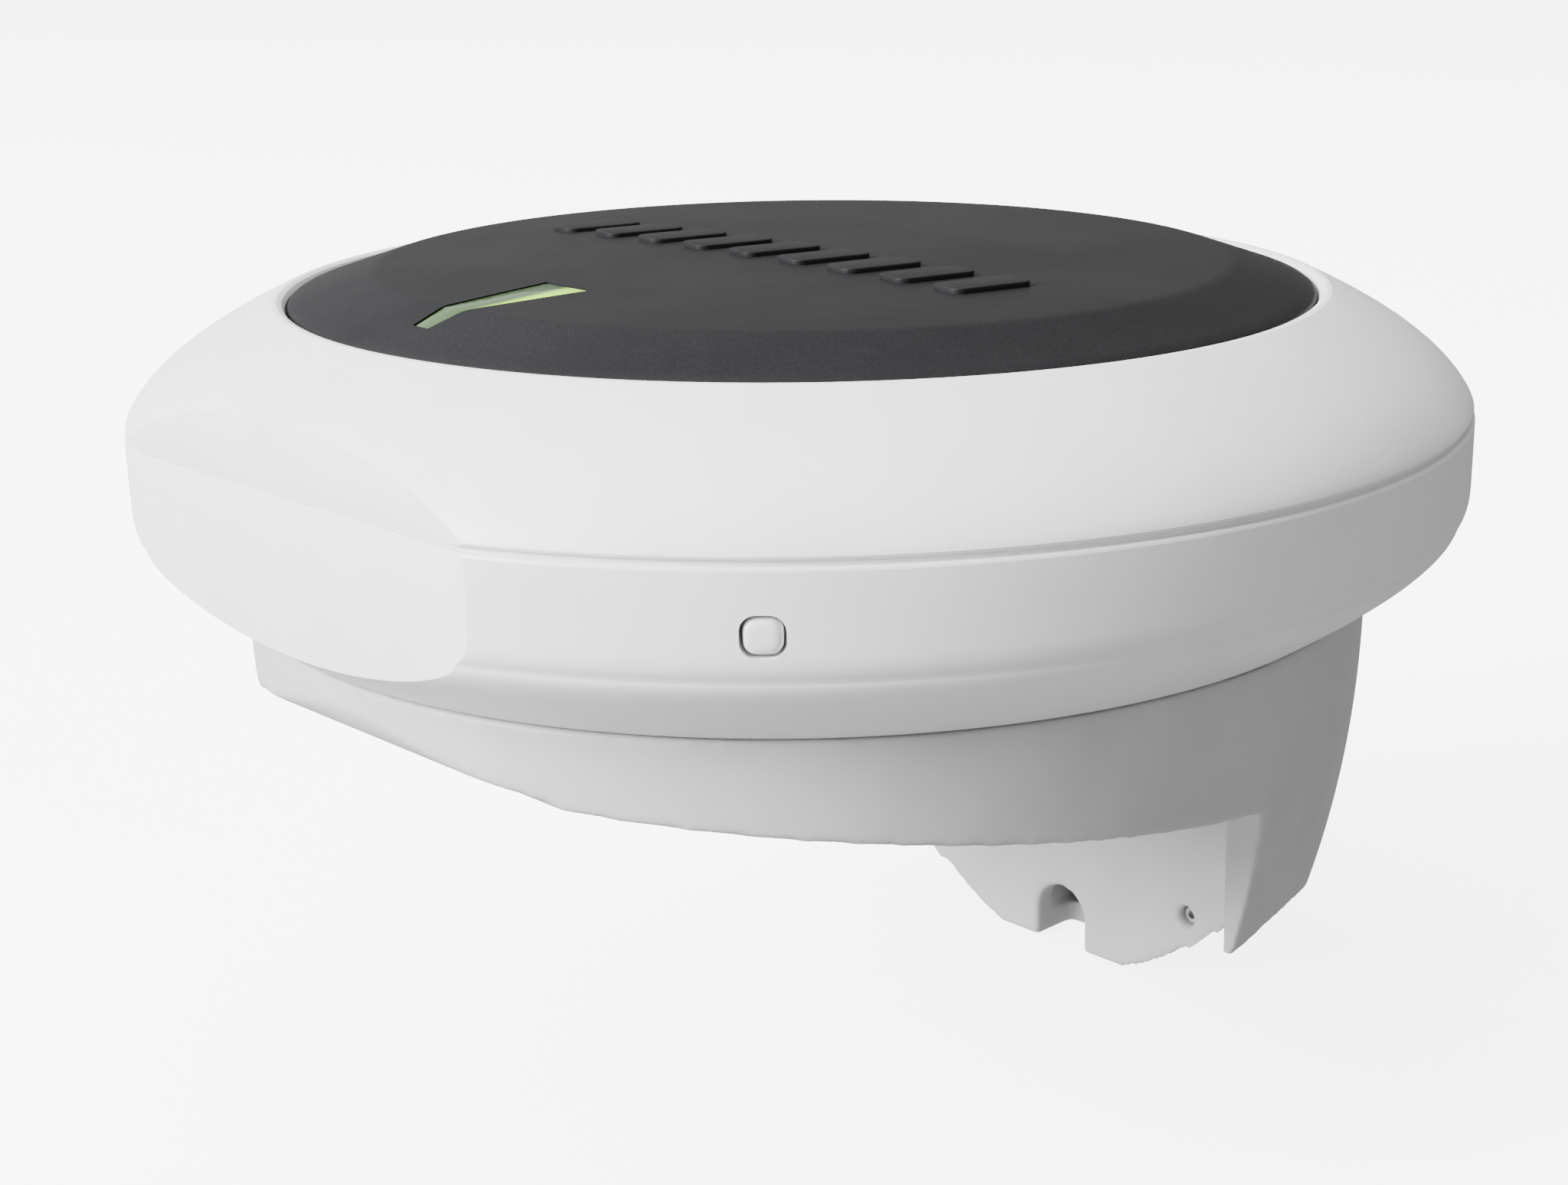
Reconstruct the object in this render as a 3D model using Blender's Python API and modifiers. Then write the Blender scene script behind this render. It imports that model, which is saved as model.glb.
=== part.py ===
"""Satellite heading and position sensor: a round sensor head locked on a wall bracket.

Units are metres. +Z is up along the head's axis, the wall is on the +Y side and the head's flat faces -Y.
The origin is the centre of the bracket's flat wall face.
"""

import math

import bmesh
import bpy
from mathutils import Matrix, Vector

# ---------------------------------------------------------------- driving dimensions
GAP = 0.0003                 # clearance between pieces that touch
SLIDE_GAP = 0.0003           # around the button's pad and stem
HEAD_RADIUS = 0.070          # rim of the head at the parting line
HEAD_DROP = 0.0185           # parting line down to the head's flat underside
COVER_RISE = 0.0117          # parting line up to the cover's inner rim
SHELL_WALL = 0.0024          # wall of the cover and of the housing
PARTING_GAP = 0.0005         # visible groove between cover and housing
COVER_BORDER = 0.0166        # rim of the head in to the dark cap's outer edge
CAP_RADIUS = HEAD_RADIUS - COVER_BORDER
CAP_STEP = 0.0003            # cover's inner rim down to the cap's outer edge
CAP_EDGE_RISE = COVER_RISE - CAP_STEP
CAP_BEVEL_WIDTH = 0.0087     # sloped border of the cap
CAP_BEVEL_RISE = 0.0029
CAP_CROWN_RISE = 0.0009
CAP_WALL = 0.0022
FLAT_CUT = 0.0058            # rim of the head in to the flat on its front
FLAT_DISTANCE = HEAD_RADIUS - FLAT_CUT
SEAT_BORDER = 0.0105         # rim of the head in to where the bracket meets its underside
SEAT_RADIUS = HEAD_RADIUS - SEAT_BORDER
BRACKET_DEPTH = 0.0595       # seat down to the bracket's lowest edge
BRACKET_TAPER = 0.0168       # how far the bracket's outside draws in over its depth
BRACKET_WALL = 0.0028
WALL_CLEARANCE = 0.0021      # rim of the head to the wall
WALL_OFFSET = HEAD_RADIUS + WALL_CLEARANCE
FACE_HALF_WIDTH = 0.0172     # wall face, at the top
FACE_TAPER = 0.0090          # how far the wall face narrows towards its lower end
LEG_DEPTH = 0.0311           # wall out to the front face of the bracket's leg
FRONT_FACE_SETBACK = WALL_OFFSET - LEG_DEPTH
UNDERSIDE_DEPTH = 0.0078     # seat to the underside near the front
UNDERSIDE_SLOPE = 0.133
FRONT_CORNER_RADIUS = 0.0066
SCOOP_FLAT = 0.0189          # half-width of the leg's flat front face
SCOOP_RIM = 0.0056           # seat's edge in to the inside of the leg's sides
SCOOP_REACH = SEAT_RADIUS - SCOOP_RIM
SCOOP_EDGE_SETBACK = 0.0045  # head's axis back to the front edge of the leg's sides
TOE_EDGE = 0.0012            # width of the edge that the leg's sides end in
NOTCH_HALF_WIDTH = 0.0038    # cable way out at the foot
NOTCH_RISE = 0.0078
BUTTON_WIDTH = 0.0033
BUTTON_HEIGHT = 0.0031
BUTTON_DROP = 0.0061         # parting line down to the button's centre
BUTTON_BEARING = 44.0        # degrees from the head's front round towards +X
BUTTON_TRAVEL = 0.0015
BUTTON_STEM = 0.0008         # radius
BUTTON_SEAT = SHELL_WALL + GAP  # wall's outside in to the button's flange
BUTTON_FLANGE = 0.0008
BUTTON_FLANGE_EDGE = 0.0006  # flange beyond the pad on each side
GUIDE_THICKNESS = 0.0012
GUIDE_WIDTH = 0.0064
SPRING_RADIUS = 0.0014
SPRING_WIRE = 0.0002         # radius
SPRING_TURNS = 4
SPRING_LENGTH = BUTTON_TRAVEL + 0.0017
LIGHT_EDGE = 0.0051          # cap's outer edge in to the narrow end of the light pipe
LIGHT_LENGTH = 0.0168
LIGHT_OUTER = CAP_RADIUS - LIGHT_EDGE
LIGHT_INNER = LIGHT_OUTER - LIGHT_LENGTH
LIGHT_WIDE = 0.0066
LIGHT_NARROW = 0.0020
MARK_COUNT = 9
MARK_SPAN = 0.0640
MARK_SETBACK = -0.0046       # middle of the bars behind the head's axis
MARK_LENGTH = 0.0092
MARK_WIDTH = 0.0046
MARK_RELIEF = 0.0005
MARK_LEAN = 12.0
BOARD_THICKNESS = 0.0016
BOARD_DROP = 0.0056          # parting line down to the main board's underside
BOARD_EDGE_GAP = 0.0006
POST_RADIUS = 0.0026
POST_BORDER = 0.0250         # rim of the head in to the board's posts
POST_CIRCLE = HEAD_RADIUS - POST_BORDER
POST_COUNT = 3
SCREW_THREAD = 0.0011        # radius of the housing and board screws
SCREW_HEAD = 0.0021
SCREW_HEAD_HEIGHT = 0.0014
COVER_SCREW_COUNT = 4
COVER_SCREW_BORDER = 0.0180
COVER_SCREW_CIRCLE = HEAD_RADIUS - COVER_SCREW_BORDER
SEAL_BORDER = 0.0135
SEAL_RADIUS = HEAD_RADIUS - SEAL_BORDER
SEAL_SECTION = 0.0008        # radius
SPIGOT_BORDER = 0.0210       # seat's edge in to the collar that carries the lugs
SPIGOT_RADIUS = SEAT_RADIUS - SPIGOT_BORDER
SPIGOT_WALL = 0.0030
SPIGOT_DEPTH = 0.0052
LUG_COUNT = 3
LUG_REACH = 0.0030
LUG_THICKNESS = 0.0018
LUG_ANGLE = 30.0
TRAY_BAND = 0.0061           # lugs out to the tray's edge, beyond the clearance
TRAY_RADIUS = SPIGOT_RADIUS + LUG_REACH + TRAY_BAND + 2 * GAP
TRAY_FLOOR = 0.0006          # lugs down to the pocket's floor, beyond the clearance
TWIST_RANGE = 36.0           # turn that frees the head from the tray
TRAY_HOOK_ANGLE = TWIST_RANGE + 2
STOP_ANGLE = 2.0             # rib that each lug comes up against, as an angle
STOP_CLEARANCE = 0.4         # degrees between lug and stop when the head is locked
TRAY_SCREW_BORDER = 0.0030
TRAY_SCREW_CIRCLE = TRAY_RADIUS - TRAY_SCREW_BORDER
TRAY_SCREW_GRIP = 0.0016
RIM_SEAL_LAND = 0.0023       # tray's edge out to the weather seal
RIM_SEAL_WIDTH = 0.0035
RIM_SEAL_INNER = TRAY_RADIUS + RIM_SEAL_LAND
RIM_SEAL_OUTER = RIM_SEAL_INNER + RIM_SEAL_WIDTH
RIM_SEAL_DEPTH = 0.0014
CONNECTOR_RADIUS = 0.0085
CONNECTOR_WALL = 0.0014
NUT_BAND = 0.0030            # connector's thread out to the nut's corners
NUT_RADIUS = CONNECTOR_RADIUS + NUT_BAND
CONNECTOR_MARGIN = 0.0060    # nut to the inside of the collar
CONNECTOR_SETBACK = SPIGOT_RADIUS - SPIGOT_WALL - NUT_RADIUS - CONNECTOR_MARGIN
CONNECTOR_RISE = 0.0090      # underside of the head up to the connector's closed end
CONNECTOR_MOUTH = 0.0028     # underside of the head down to its mouth
NUT_HEIGHT = 0.0018
PIN_RADIUS = 0.0005
PIN_CIRCLE = 0.0030
PIN_COUNT = 5
PIN_LENGTH = 0.0050
PATCH_SIDE = 0.0360
PATCH_THICKNESS = 0.0040
GROUND_BORDER = 0.0300       # rim of the head in to the antenna's ground plate
GROUND_RADIUS = HEAD_RADIUS - GROUND_BORDER
GROUND_THICKNESS = 0.0010
STANDOFF_HEIGHT = 0.0036
WALL_SCREW_MARGIN = 0.0004   # wall screws' heads to the sides of the leg's hollow
WALL_SCREW_RISE = 0.0303     # bracket's lowest edge up to the wall screws
WALL_SCREW_DROP = BRACKET_DEPTH - WALL_SCREW_RISE
WALL_SCREW_THREAD = 0.0019
WALL_SCREW_HEAD = 0.0036
SET_SCREW_RADIUS = 0.0010
SET_SCREW_LENGTH = 0.0050
SET_SCREW_SIDE = 0.0014      # edge of the leg's flat front face out to the set screw, on the +X side
SET_SCREW_OFFSET = SCOOP_FLAT + SET_SCREW_SIDE
SET_SCREW_HEIGHT = 0.0098    # above the bracket's lowest edge

TURN_STEPS = 48
FINE_STEPS = 24

# Heights in the object's frame: the wall face is centred on the origin.
SEAT_Z = BRACKET_DEPTH / 2
UNDERSIDE_Z = SEAT_Z + GAP
PARTING_Z = UNDERSIDE_Z + HEAD_DROP
AXIS_Y = -WALL_OFFSET

parts = None
cutters = None


# ---------------------------------------------------------------- scene and helpers
def clear_scene():
    for item in list(bpy.data.objects):
        bpy.data.objects.remove(item, do_unlink=True)


def new_collection(name):
    group = bpy.data.collections.new(name)
    bpy.context.scene.collection.children.link(group)
    return group


def material(name, colour, roughness, metallic=0.0):
    found = bpy.data.materials.get(name)
    if found:
        return found
    made = bpy.data.materials.new(name)
    made.use_nodes = True
    shader = made.node_tree.nodes["Principled BSDF"]
    shader.inputs["Base Color"].default_value = (*colour, 1.0)
    shader.inputs["Roughness"].default_value = roughness
    shader.inputs["Metallic"].default_value = metallic
    return made


WHITE_PLASTIC = ("white_plastic", (0.82, 0.82, 0.83), 0.42)
BRACKET_PLASTIC = ("bracket_plastic", (0.78, 0.78, 0.79), 0.45)
DARK_PLASTIC = ("dark_plastic", (0.045, 0.045, 0.048), 0.55)
LENS_GREEN = ("lens_green", (0.30, 0.62, 0.20), 0.20)
RUBBER = ("rubber", (0.03, 0.03, 0.03), 0.80)
STEEL = ("steel", (0.62, 0.62, 0.60), 0.30, 1.0)
BRASS = ("brass", (0.78, 0.58, 0.28), 0.30, 1.0)
BOARD = ("board", (0.02, 0.16, 0.07), 0.50)
CERAMIC = ("ceramic", (0.72, 0.68, 0.58), 0.60)
CHIP = ("chip", (0.05, 0.05, 0.05), 0.50)


def add_object(name, mesh, look, parent=None, location=(0, 0, 0), rotation_z=0.0):
    item = bpy.data.objects.new(name, mesh)
    item.location = location
    item.rotation_euler = (0, 0, rotation_z)
    if look:
        item.data.materials.append(material(*look))
        parts.objects.link(item)
    else:
        cutters.objects.link(item)
        item.hide_render = True
        item.display_type = "WIRE"
    if parent:
        item.parent = parent
    return item


def add_empty(name, location, parent=None):
    item = bpy.data.objects.new(name, None)
    item.location = location
    parts.objects.link(item)
    if parent:
        item.parent = parent
    return item


def smooth(mesh, angle=32):
    mesh.shade_smooth()
    mesh.set_sharp_from_angle(angle=math.radians(angle))


def mesh_from(build, name):
    mesh = bpy.data.meshes.new(name)
    shape = bmesh.new()
    build(shape)
    bmesh.ops.recalc_face_normals(shape, faces=shape.faces)
    shape.to_mesh(mesh)
    shape.free()
    smooth(mesh)
    return mesh


def evaluated_mesh(item):
    bpy.context.view_layer.update()
    depsgraph = bpy.context.evaluated_depsgraph_get()
    return bpy.data.meshes.new_from_object(item.evaluated_get(depsgraph))


def turned(name, profile, look, closed=True, steps=TURN_STEPS, **place):
    """A profile of (radius, height) points about Z. A closed one is a ring, an open one ends on the axis."""
    mesh = bpy.data.meshes.new(name)
    edges = [(i, i + 1) for i in range(len(profile) - 1)]
    if closed:
        edges.append((len(profile) - 1, 0))
    mesh.from_pydata([(r, 0, z) for r, z in profile], edges, [])
    item = add_object(name, mesh, look, **place)
    screw = item.modifiers.new("turn", "SCREW")
    screw.axis = "Z"
    screw.angle = math.tau
    screw.steps = steps
    screw.render_steps = steps
    screw.use_merge_vertices = True
    screw.merge_threshold = 0.000001
    screw.use_smooth_shade = True
    return item


def bake(item):
    """The object's mesh with its modifiers applied, faces outward."""
    made = evaluated_mesh(item)
    shape = bmesh.new()
    shape.from_mesh(made)
    bmesh.ops.remove_doubles(shape, verts=shape.verts, dist=0.000001)
    bmesh.ops.recalc_face_normals(shape, faces=shape.faces)
    shape.to_mesh(made)
    shape.free()
    item.modifiers.clear()
    item.data = made
    smooth(made)
    return item


def combine(item, other, operation):
    tool = item.modifiers.new(operation.lower(), "BOOLEAN")
    tool.operation = operation
    tool.object = other
    bake(item)
    bpy.data.objects.remove(other, do_unlink=True)
    return item


def cut(item, *tools):
    for tool in tools:
        combine(item, tool, "DIFFERENCE")
    return item


def join(item, *pieces):
    for piece in pieces:
        combine(item, piece, "UNION")
    return item


def block(name, size, look, centre=(0, 0, 0), **place):
    def build(shape):
        bmesh.ops.create_cube(shape, size=1.0)
        bmesh.ops.scale(shape, vec=Vector(size), verts=shape.verts)
        bmesh.ops.translate(shape, vec=Vector(centre), verts=shape.verts)
    return add_object(name, mesh_from(build, name), look, **place)


def rod(name, radius, bottom, top, look, centre=(0, 0), sides=FINE_STEPS, turn=None, **place):
    """A cylinder along Z, or along another direction when turn is given."""
    def build(shape):
        bmesh.ops.create_cone(shape, cap_ends=True, segments=sides, radius1=radius, radius2=radius,
                              depth=top - bottom)
        bmesh.ops.translate(shape, vec=(centre[0], centre[1], (top + bottom) / 2), verts=shape.verts)
        if turn:
            bmesh.ops.transform(shape, matrix=turn, verts=shape.verts)
    return add_object(name, mesh_from(build, name), look, **place)


def prism(name, outline, low, high, look, turn=None, **place):
    """A closed flat outline in XY carried from low to high along Z."""
    def build(shape):
        base = [shape.verts.new((x, y, low)) for x, y in outline]
        face = shape.faces.new(base)
        lifted = bmesh.ops.extrude_face_region(shape, geom=[face])["geom"]
        raised = [v for v in lifted if isinstance(v, bmesh.types.BMVert)]
        bmesh.ops.translate(shape, vec=(0, 0, high - low), verts=raised)
        if turn:
            bmesh.ops.transform(shape, matrix=turn, verts=shape.verts)
    return add_object(name, mesh_from(build, name), look, **place)


def loft(name, sections, look, **place):
    """Closed outlines of equal point count, each a list of (x, y, z), skinned in order."""
    def build(shape):
        rings = [[shape.verts.new(p) for p in section] for section in sections]
        count = len(rings[0])
        for lower, upper in zip(rings, rings[1:]):
            for i in range(count):
                j = (i + 1) % count
                shape.faces.new((lower[i], lower[j], upper[j], upper[i]))
        shape.faces.new(rings[0])
        shape.faces.new(rings[-1])
    return add_object(name, mesh_from(build, name), look, **place)


def arc(cx, cy, radius, start, end, count):
    """Points on a circle from start to end degrees, both included."""
    angles = [math.radians(start + (end - start) * i / count) for i in range(count + 1)]
    return [(cx + radius * math.cos(a), cy + radius * math.sin(a)) for a in angles]


def curve_points(start, control, end, count):
    """A quadratic curve between two profile points, both included."""
    points = []
    for i in range(count + 1):
        t = i / count
        points.append(tuple((1 - t) ** 2 * a + 2 * t * (1 - t) * b + t * t * c
                            for a, b, c in zip(start, control, end)))
    return points


def rounded_rectangle(width, height, radius, steps=4):
    x = width / 2 - radius
    y = height / 2 - radius
    return (arc(x, y, radius, 0, 90, steps) + arc(-x, y, radius, 90, 180, steps)
            + arc(-x, -y, radius, 180, 270, steps) + arc(x, -y, radius, 270, 360, steps))


def sector(inner, outer, start, end, count=6):
    return arc(0, 0, outer, start, end, count) + arc(0, 0, inner, end, start, count)


def around(radius, bearing):
    a = math.radians(bearing)
    return radius * math.cos(a), radius * math.sin(a)


# ---------------------------------------------------------------- head: outer shells
def cover_outer():
    """Cover's outside from its inner rim down to the parting line, as (radius, height)."""
    rim = CAP_RADIUS + 0.0011
    shoulder = (HEAD_RADIUS * 0.9936, 0.0011)
    return curve_points((rim, COVER_RISE), (HEAD_RADIUS * 0.951, COVER_RISE * 0.55), shoulder, 6)


def housing_outer():
    """Housing's outside from the parting line down to the flat underside."""
    band = (HEAD_RADIUS * 0.998, -HEAD_DROP * 0.455)
    crease = (HEAD_RADIUS * 0.986, -HEAD_DROP * 0.553)
    ring = (SEAT_RADIUS, -HEAD_DROP)
    return [band] + curve_points(crease, (HEAD_RADIUS * 0.99, -HEAD_DROP * 0.66), ring, 5)


def flat_cutter(name, distance):
    reach = HEAD_RADIUS * 1.5
    return block(name, (4 * reach, reach, 4 * reach), None, centre=(0, -distance - reach / 2, 0))


def make_cover(head):
    """White upper shell: a ring round the cap, with a ledge for the cap, a seal lip and screw bosses."""
    wall = SHELL_WALL
    bottom = PARTING_GAP / 2
    outside = cover_outer()
    ledge = cap_seat() - GAP
    under = ledge - wall
    recess = CAP_RADIUS + SLIDE_GAP
    ledge_inner = CAP_RADIUS - 0.0050
    shoulder = (HEAD_RADIUS - 0.0001, bottom)
    profile = ([(recess, COVER_RISE - 0.0007)] + outside
               + [shoulder, (ledge_inner, bottom), (ledge_inner, ledge), (recess, ledge)])
    cover = bake(turned("upper_cover", profile, WHITE_PLASTIC, parent=head))
    cut(cover, flat_cutter_at(head, "cover_flat", FLAT_DISTANCE))
    low = bottom - 0.0009
    inside = [(r - wall, max(min(z - wall * 0.75, under), low)) for r, z in outside[2::2]]
    start = ledge_inner - 0.004
    hollow = bake(turned("cover_hollow", [(start, under)] + inside
                         + [(HEAD_RADIUS - wall, bottom - 0.001), (start, bottom - 0.001)], None,
                         parent=head))
    cut(hollow, flat_cutter_at(head, "cover_hollow_flat", FLAT_DISTANCE - wall))
    cut(cover, hollow)
    lip_low = seal_height() + SEAL_SECTION + GAP
    join(cover, rib("cover_lip", SEAL_RADIUS, 0.0010, lip_low, under, WHITE_PLASTIC, head))
    for bearing in cover_screw_bearings():
        centre = around(COVER_SCREW_CIRCLE, bearing)
        join(cover, rod("cover_boss", POST_RADIUS, bottom + 0.0002, under + 0.0008, WHITE_PLASTIC,
                        centre=centre, sides=16, parent=head))
        cut(cover, rod("boss_hole", SCREW_THREAD + GAP, bottom - 0.002, under - 0.0004, None,
                       centre=centre, sides=12, parent=head))
    return cover


def rib(name, radius, half_width, low, high, look, head):
    return turned(name, [(radius + half_width, high), (radius + half_width, low),
                         (radius - half_width, low), (radius - half_width, high)], look, parent=head)


def seal_height():
    return -SEAL_SECTION / 2


def make_housing(head):
    """White lower shell: side band, rounded underside, screw columns, seal rib and the lugged collar."""
    wall = SHELL_WALL
    top = -PARTING_GAP / 2
    floor = -HEAD_DROP + wall
    mouth = CONNECTOR_RADIUS + GAP
    outside = [(HEAD_RADIUS - 0.0001, top)] + housing_outer()
    housing = bake(turned("lower_housing", [(0, top)] + outside + [(0, -HEAD_DROP)], WHITE_PLASTIC,
                          closed=False, parent=head))
    cut(housing, flat_cutter_at(head, "housing_flat", FLAT_DISTANCE))
    last = len(outside) - 2
    inside = [(r - wall, max(z + wall * i / last, floor)) for i, (r, z) in enumerate(outside[1:])]
    hollow = bake(turned("housing_hollow", [(0, 0.002), (HEAD_RADIUS - wall, 0.002)] + inside
                         + [(0, floor)], None, closed=False, parent=head))
    cut(hollow, flat_cutter_at(head, "housing_hollow_flat", FLAT_DISTANCE - wall))
    cut(housing, hollow)
    join(housing, rib("housing_rib", SEAL_RADIUS, 0.001, floor - wall / 2,
                      seal_height() - SEAL_SECTION - GAP, WHITE_PLASTIC, head))
    for bearing in cover_screw_bearings():
        x, y = around(COVER_SCREW_CIRCLE, bearing)
        join(housing, rod("housing_column", POST_RADIUS, floor - wall / 2, top - 0.0002, WHITE_PLASTIC,
                          centre=(x, y), sides=16, parent=head))
        cut(housing, rod("column_hole", SCREW_THREAD + GAP, -HEAD_DROP - 0.001, 0.001, None,
                         centre=(x, y), sides=12, parent=head),
            rod("column_recess", SCREW_HEAD + GAP, -HEAD_DROP - 0.001,
                -HEAD_DROP + SCREW_HEAD_HEIGHT + 2 * GAP, None, centre=(x, y), sides=16, parent=head))
    for bearing in board_screw_bearings():
        x, y = around(POST_CIRCLE, bearing)
        join(housing, rod("board_post", POST_RADIUS, floor - wall / 2, -BOARD_DROP - GAP, WHITE_PLASTIC,
                          centre=(x, y), sides=16, parent=head))
        cut(housing, rod("post_hole", SCREW_THREAD + GAP, floor + 0.001, 0.001, None,
                         centre=(x, y), sides=12, parent=head))
    collar_low = -HEAD_DROP - SPIGOT_DEPTH
    join(housing, rib("collar", SPIGOT_RADIUS - SPIGOT_WALL / 2, SPIGOT_WALL / 2, collar_low,
                      -HEAD_DROP + wall / 2, WHITE_PLASTIC, head))
    for i in range(LUG_COUNT):
        middle = 90 + 360 / LUG_COUNT * i
        outline = sector(SPIGOT_RADIUS - SPIGOT_WALL / 2, SPIGOT_RADIUS + LUG_REACH,
                         middle - LUG_ANGLE / 2, middle + LUG_ANGLE / 2)
        join(housing, prism("lug", outline, collar_low + 0.0001, collar_low + LUG_THICKNESS, WHITE_PLASTIC,
                            parent=head))
    cut(housing, rod("connector_hole", mouth, -HEAD_DROP - 0.002, floor + 0.002, None,
                     centre=(0, CONNECTOR_SETBACK), parent=head))
    cut(housing, button_prism("button_hole", SLIDE_GAP, BUTTON_SEAT + 0.003, 0.004, None, head))
    return housing


def flat_cutter_at(head, name, distance):
    item = flat_cutter(name, distance)
    item.parent = head
    return item


def cover_screw_bearings():
    return [45 + 360 / COVER_SCREW_COUNT * i for i in range(COVER_SCREW_COUNT)]


def board_screw_bearings():
    return [90 + 360 / POST_COUNT * i for i in range(POST_COUNT)]


def make_seal(head):
    mid = seal_height()
    outline = arc(SEAL_RADIUS, mid, SEAL_SECTION, 360, 60, 5)
    return bake(turned("cover_seal", outline, RUBBER, parent=head))


# ---------------------------------------------------------------- head: cap, mark and light pipe
def cap_height(radius):
    """Height of the cap's top above the parting line at a distance from the axis."""
    shoulder = CAP_RADIUS - CAP_BEVEL_WIDTH
    bevel_top = CAP_EDGE_RISE + CAP_BEVEL_RISE
    if radius > shoulder:
        return bevel_top - CAP_BEVEL_RISE * (radius - shoulder) / CAP_BEVEL_WIDTH
    return bevel_top + CAP_CROWN_RISE * (1 - (radius / shoulder) ** 2)


def light_outline(clearance=0.0):
    wide = LIGHT_WIDE / 2 + clearance
    narrow = LIGHT_NARROW / 2 + clearance
    inner = -LIGHT_INNER + clearance
    outer = -LIGHT_OUTER - clearance
    return [(-wide, inner), (-narrow, outer), (narrow, outer), (wide, inner)]


def make_cap(head):
    """Dark radome cap with its row of raised bars and the slot for the light pipe."""
    shoulder = CAP_RADIUS - CAP_BEVEL_WIDTH
    seat = cap_seat()
    top = [(shoulder * f, cap_height(shoulder * f)) for f in (0.0, 0.35, 0.7, 0.9, 1.0)]
    edge = CAP_EDGE_RISE
    outer = top + [(CAP_RADIUS - 0.0003, edge), (CAP_RADIUS, edge - 0.0003), (CAP_RADIUS, seat)]
    under = [(CAP_RADIUS - 0.0040, seat), (shoulder - 0.001, CAP_EDGE_RISE + CAP_BEVEL_RISE - CAP_WALL),
             (0, CAP_EDGE_RISE + CAP_BEVEL_RISE + CAP_CROWN_RISE - CAP_WALL)]
    cap = bake(turned("radome_cap", outer + under, DARK_PLASTIC, closed=False, parent=head))
    cut(cap, prism("light_slot", light_outline(GAP), seat - 0.001, edge + 0.006, None, parent=head))
    pitch = (MARK_SPAN - MARK_WIDTH) / (MARK_COUNT - 1)
    for i in range(MARK_COUNT):
        x = -MARK_SPAN / 2 + MARK_WIDTH / 2 + pitch * i
        top_z = cap_height(math.hypot(x, MARK_SETBACK)) + MARK_RELIEF
        turn = Matrix.Translation((x, MARK_SETBACK, 0)) @ Matrix.Rotation(math.radians(-MARK_LEAN), 4, "Z")
        bar = prism("bar", rounded_rectangle(MARK_WIDTH, MARK_LENGTH, 0.0012, steps=3),
                    top_z - MARK_RELIEF - 0.0008, top_z, DARK_PLASTIC, turn=turn, parent=head)
        join(cap, bar)
    return cap


def cap_seat():
    return COVER_RISE - CAP_WALL - 0.0014 + GAP


def make_light_pipe(head):
    """Clear wedge that shines through the cap, from near the middle out over the sloped border."""
    pipe = prism("light_pipe", light_outline(), cap_seat() + 0.0006, CAP_EDGE_RISE + 0.006, LENS_GREEN,
                 parent=head)
    shoulder = CAP_RADIUS - CAP_BEVEL_WIDTH
    flush = 0.00015
    above = [(0, cap_height(0) - flush), (LIGHT_INNER, cap_height(LIGHT_INNER) - flush),
             (shoulder, cap_height(shoulder) - flush), (CAP_RADIUS, CAP_EDGE_RISE - flush),
             (CAP_RADIUS, CAP_EDGE_RISE + 0.02), (0, CAP_EDGE_RISE + 0.02)]
    side = [(-r, z) for r, z in above]
    turn = Matrix(((0, 0, 1, 0), (1, 0, 0, 0), (0, 1, 0, 0), (0, 0, 0, 1)))
    return cut(pipe, prism("light_trim", side, -0.01, 0.01, None, turn=turn, parent=head))


# ---------------------------------------------------------------- head: electronics
def make_electronics(head):
    board_low = -BOARD_DROP
    board_top = board_low + BOARD_THICKNESS
    radius = COVER_SCREW_CIRCLE - POST_RADIUS - BOARD_EDGE_GAP
    board = rod("main_board", radius, board_low, board_top, BOARD, sides=40, parent=head)
    for bearing in board_screw_bearings():
        cut(board, rod("board_hole", SCREW_THREAD + GAP, board_low - 0.001, board_top + 0.001, None,
                       centre=around(POST_CIRCLE, bearing), sides=12, parent=head))
    for i, bearing in enumerate(board_screw_bearings()):
        make_screw("board_screw_%d" % (i + 1), around(POST_CIRCLE, bearing), board_top + GAP,
                   board_top - 0.0065, -1, head)
    ground_low = board_top + STANDOFF_HEIGHT + 2 * GAP
    rod("antenna_ground_plate", GROUND_RADIUS, ground_low, ground_low + GROUND_THICKNESS, STEEL,
        sides=48, parent=head)
    for i in range(3):
        rod("antenna_standoff_%d" % (i + 1), 0.0024, board_top + GAP, ground_low - GAP, BRASS,
            centre=around(GROUND_RADIUS - 0.008, 30 + 120 * i), sides=6, parent=head)
    patch_low = ground_low + GROUND_THICKNESS + GAP
    block("antenna_patch", (PATCH_SIDE, PATCH_SIDE, PATCH_THICKNESS), CERAMIC,
          centre=(0, 0.002, patch_low + PATCH_THICKNESS / 2), parent=head)
    block("antenna_electrode", (PATCH_SIDE * 0.8, PATCH_SIDE * 0.8, 0.0004), STEEL,
          centre=(0, 0.002, patch_low + PATCH_THICKNESS + GAP + 0.0002), parent=head)
    under = board_low - GAP
    block("motion_sensor", (0.0160, 0.0160, 0.0034), STEEL, centre=(-0.017, -0.013, under - 0.0017),
          parent=head)
    block("shield_can", (0.0200, 0.0150, 0.0026), STEEL, centre=(0.014, -0.016, under - 0.0013),
          parent=head)
    rod("backup_cell", 0.0062, under - 0.0032, under, STEEL, centre=(-0.026, 0.010), sides=32,
        parent=head)
    lamp_z = board_top + GAP
    lamp_y = -(GROUND_RADIUS + 0.0030)
    block("status_lamp", (0.0028, 0.0028, 0.0012), CERAMIC, centre=(0, lamp_y, lamp_z + 0.0006),
          parent=head)


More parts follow.
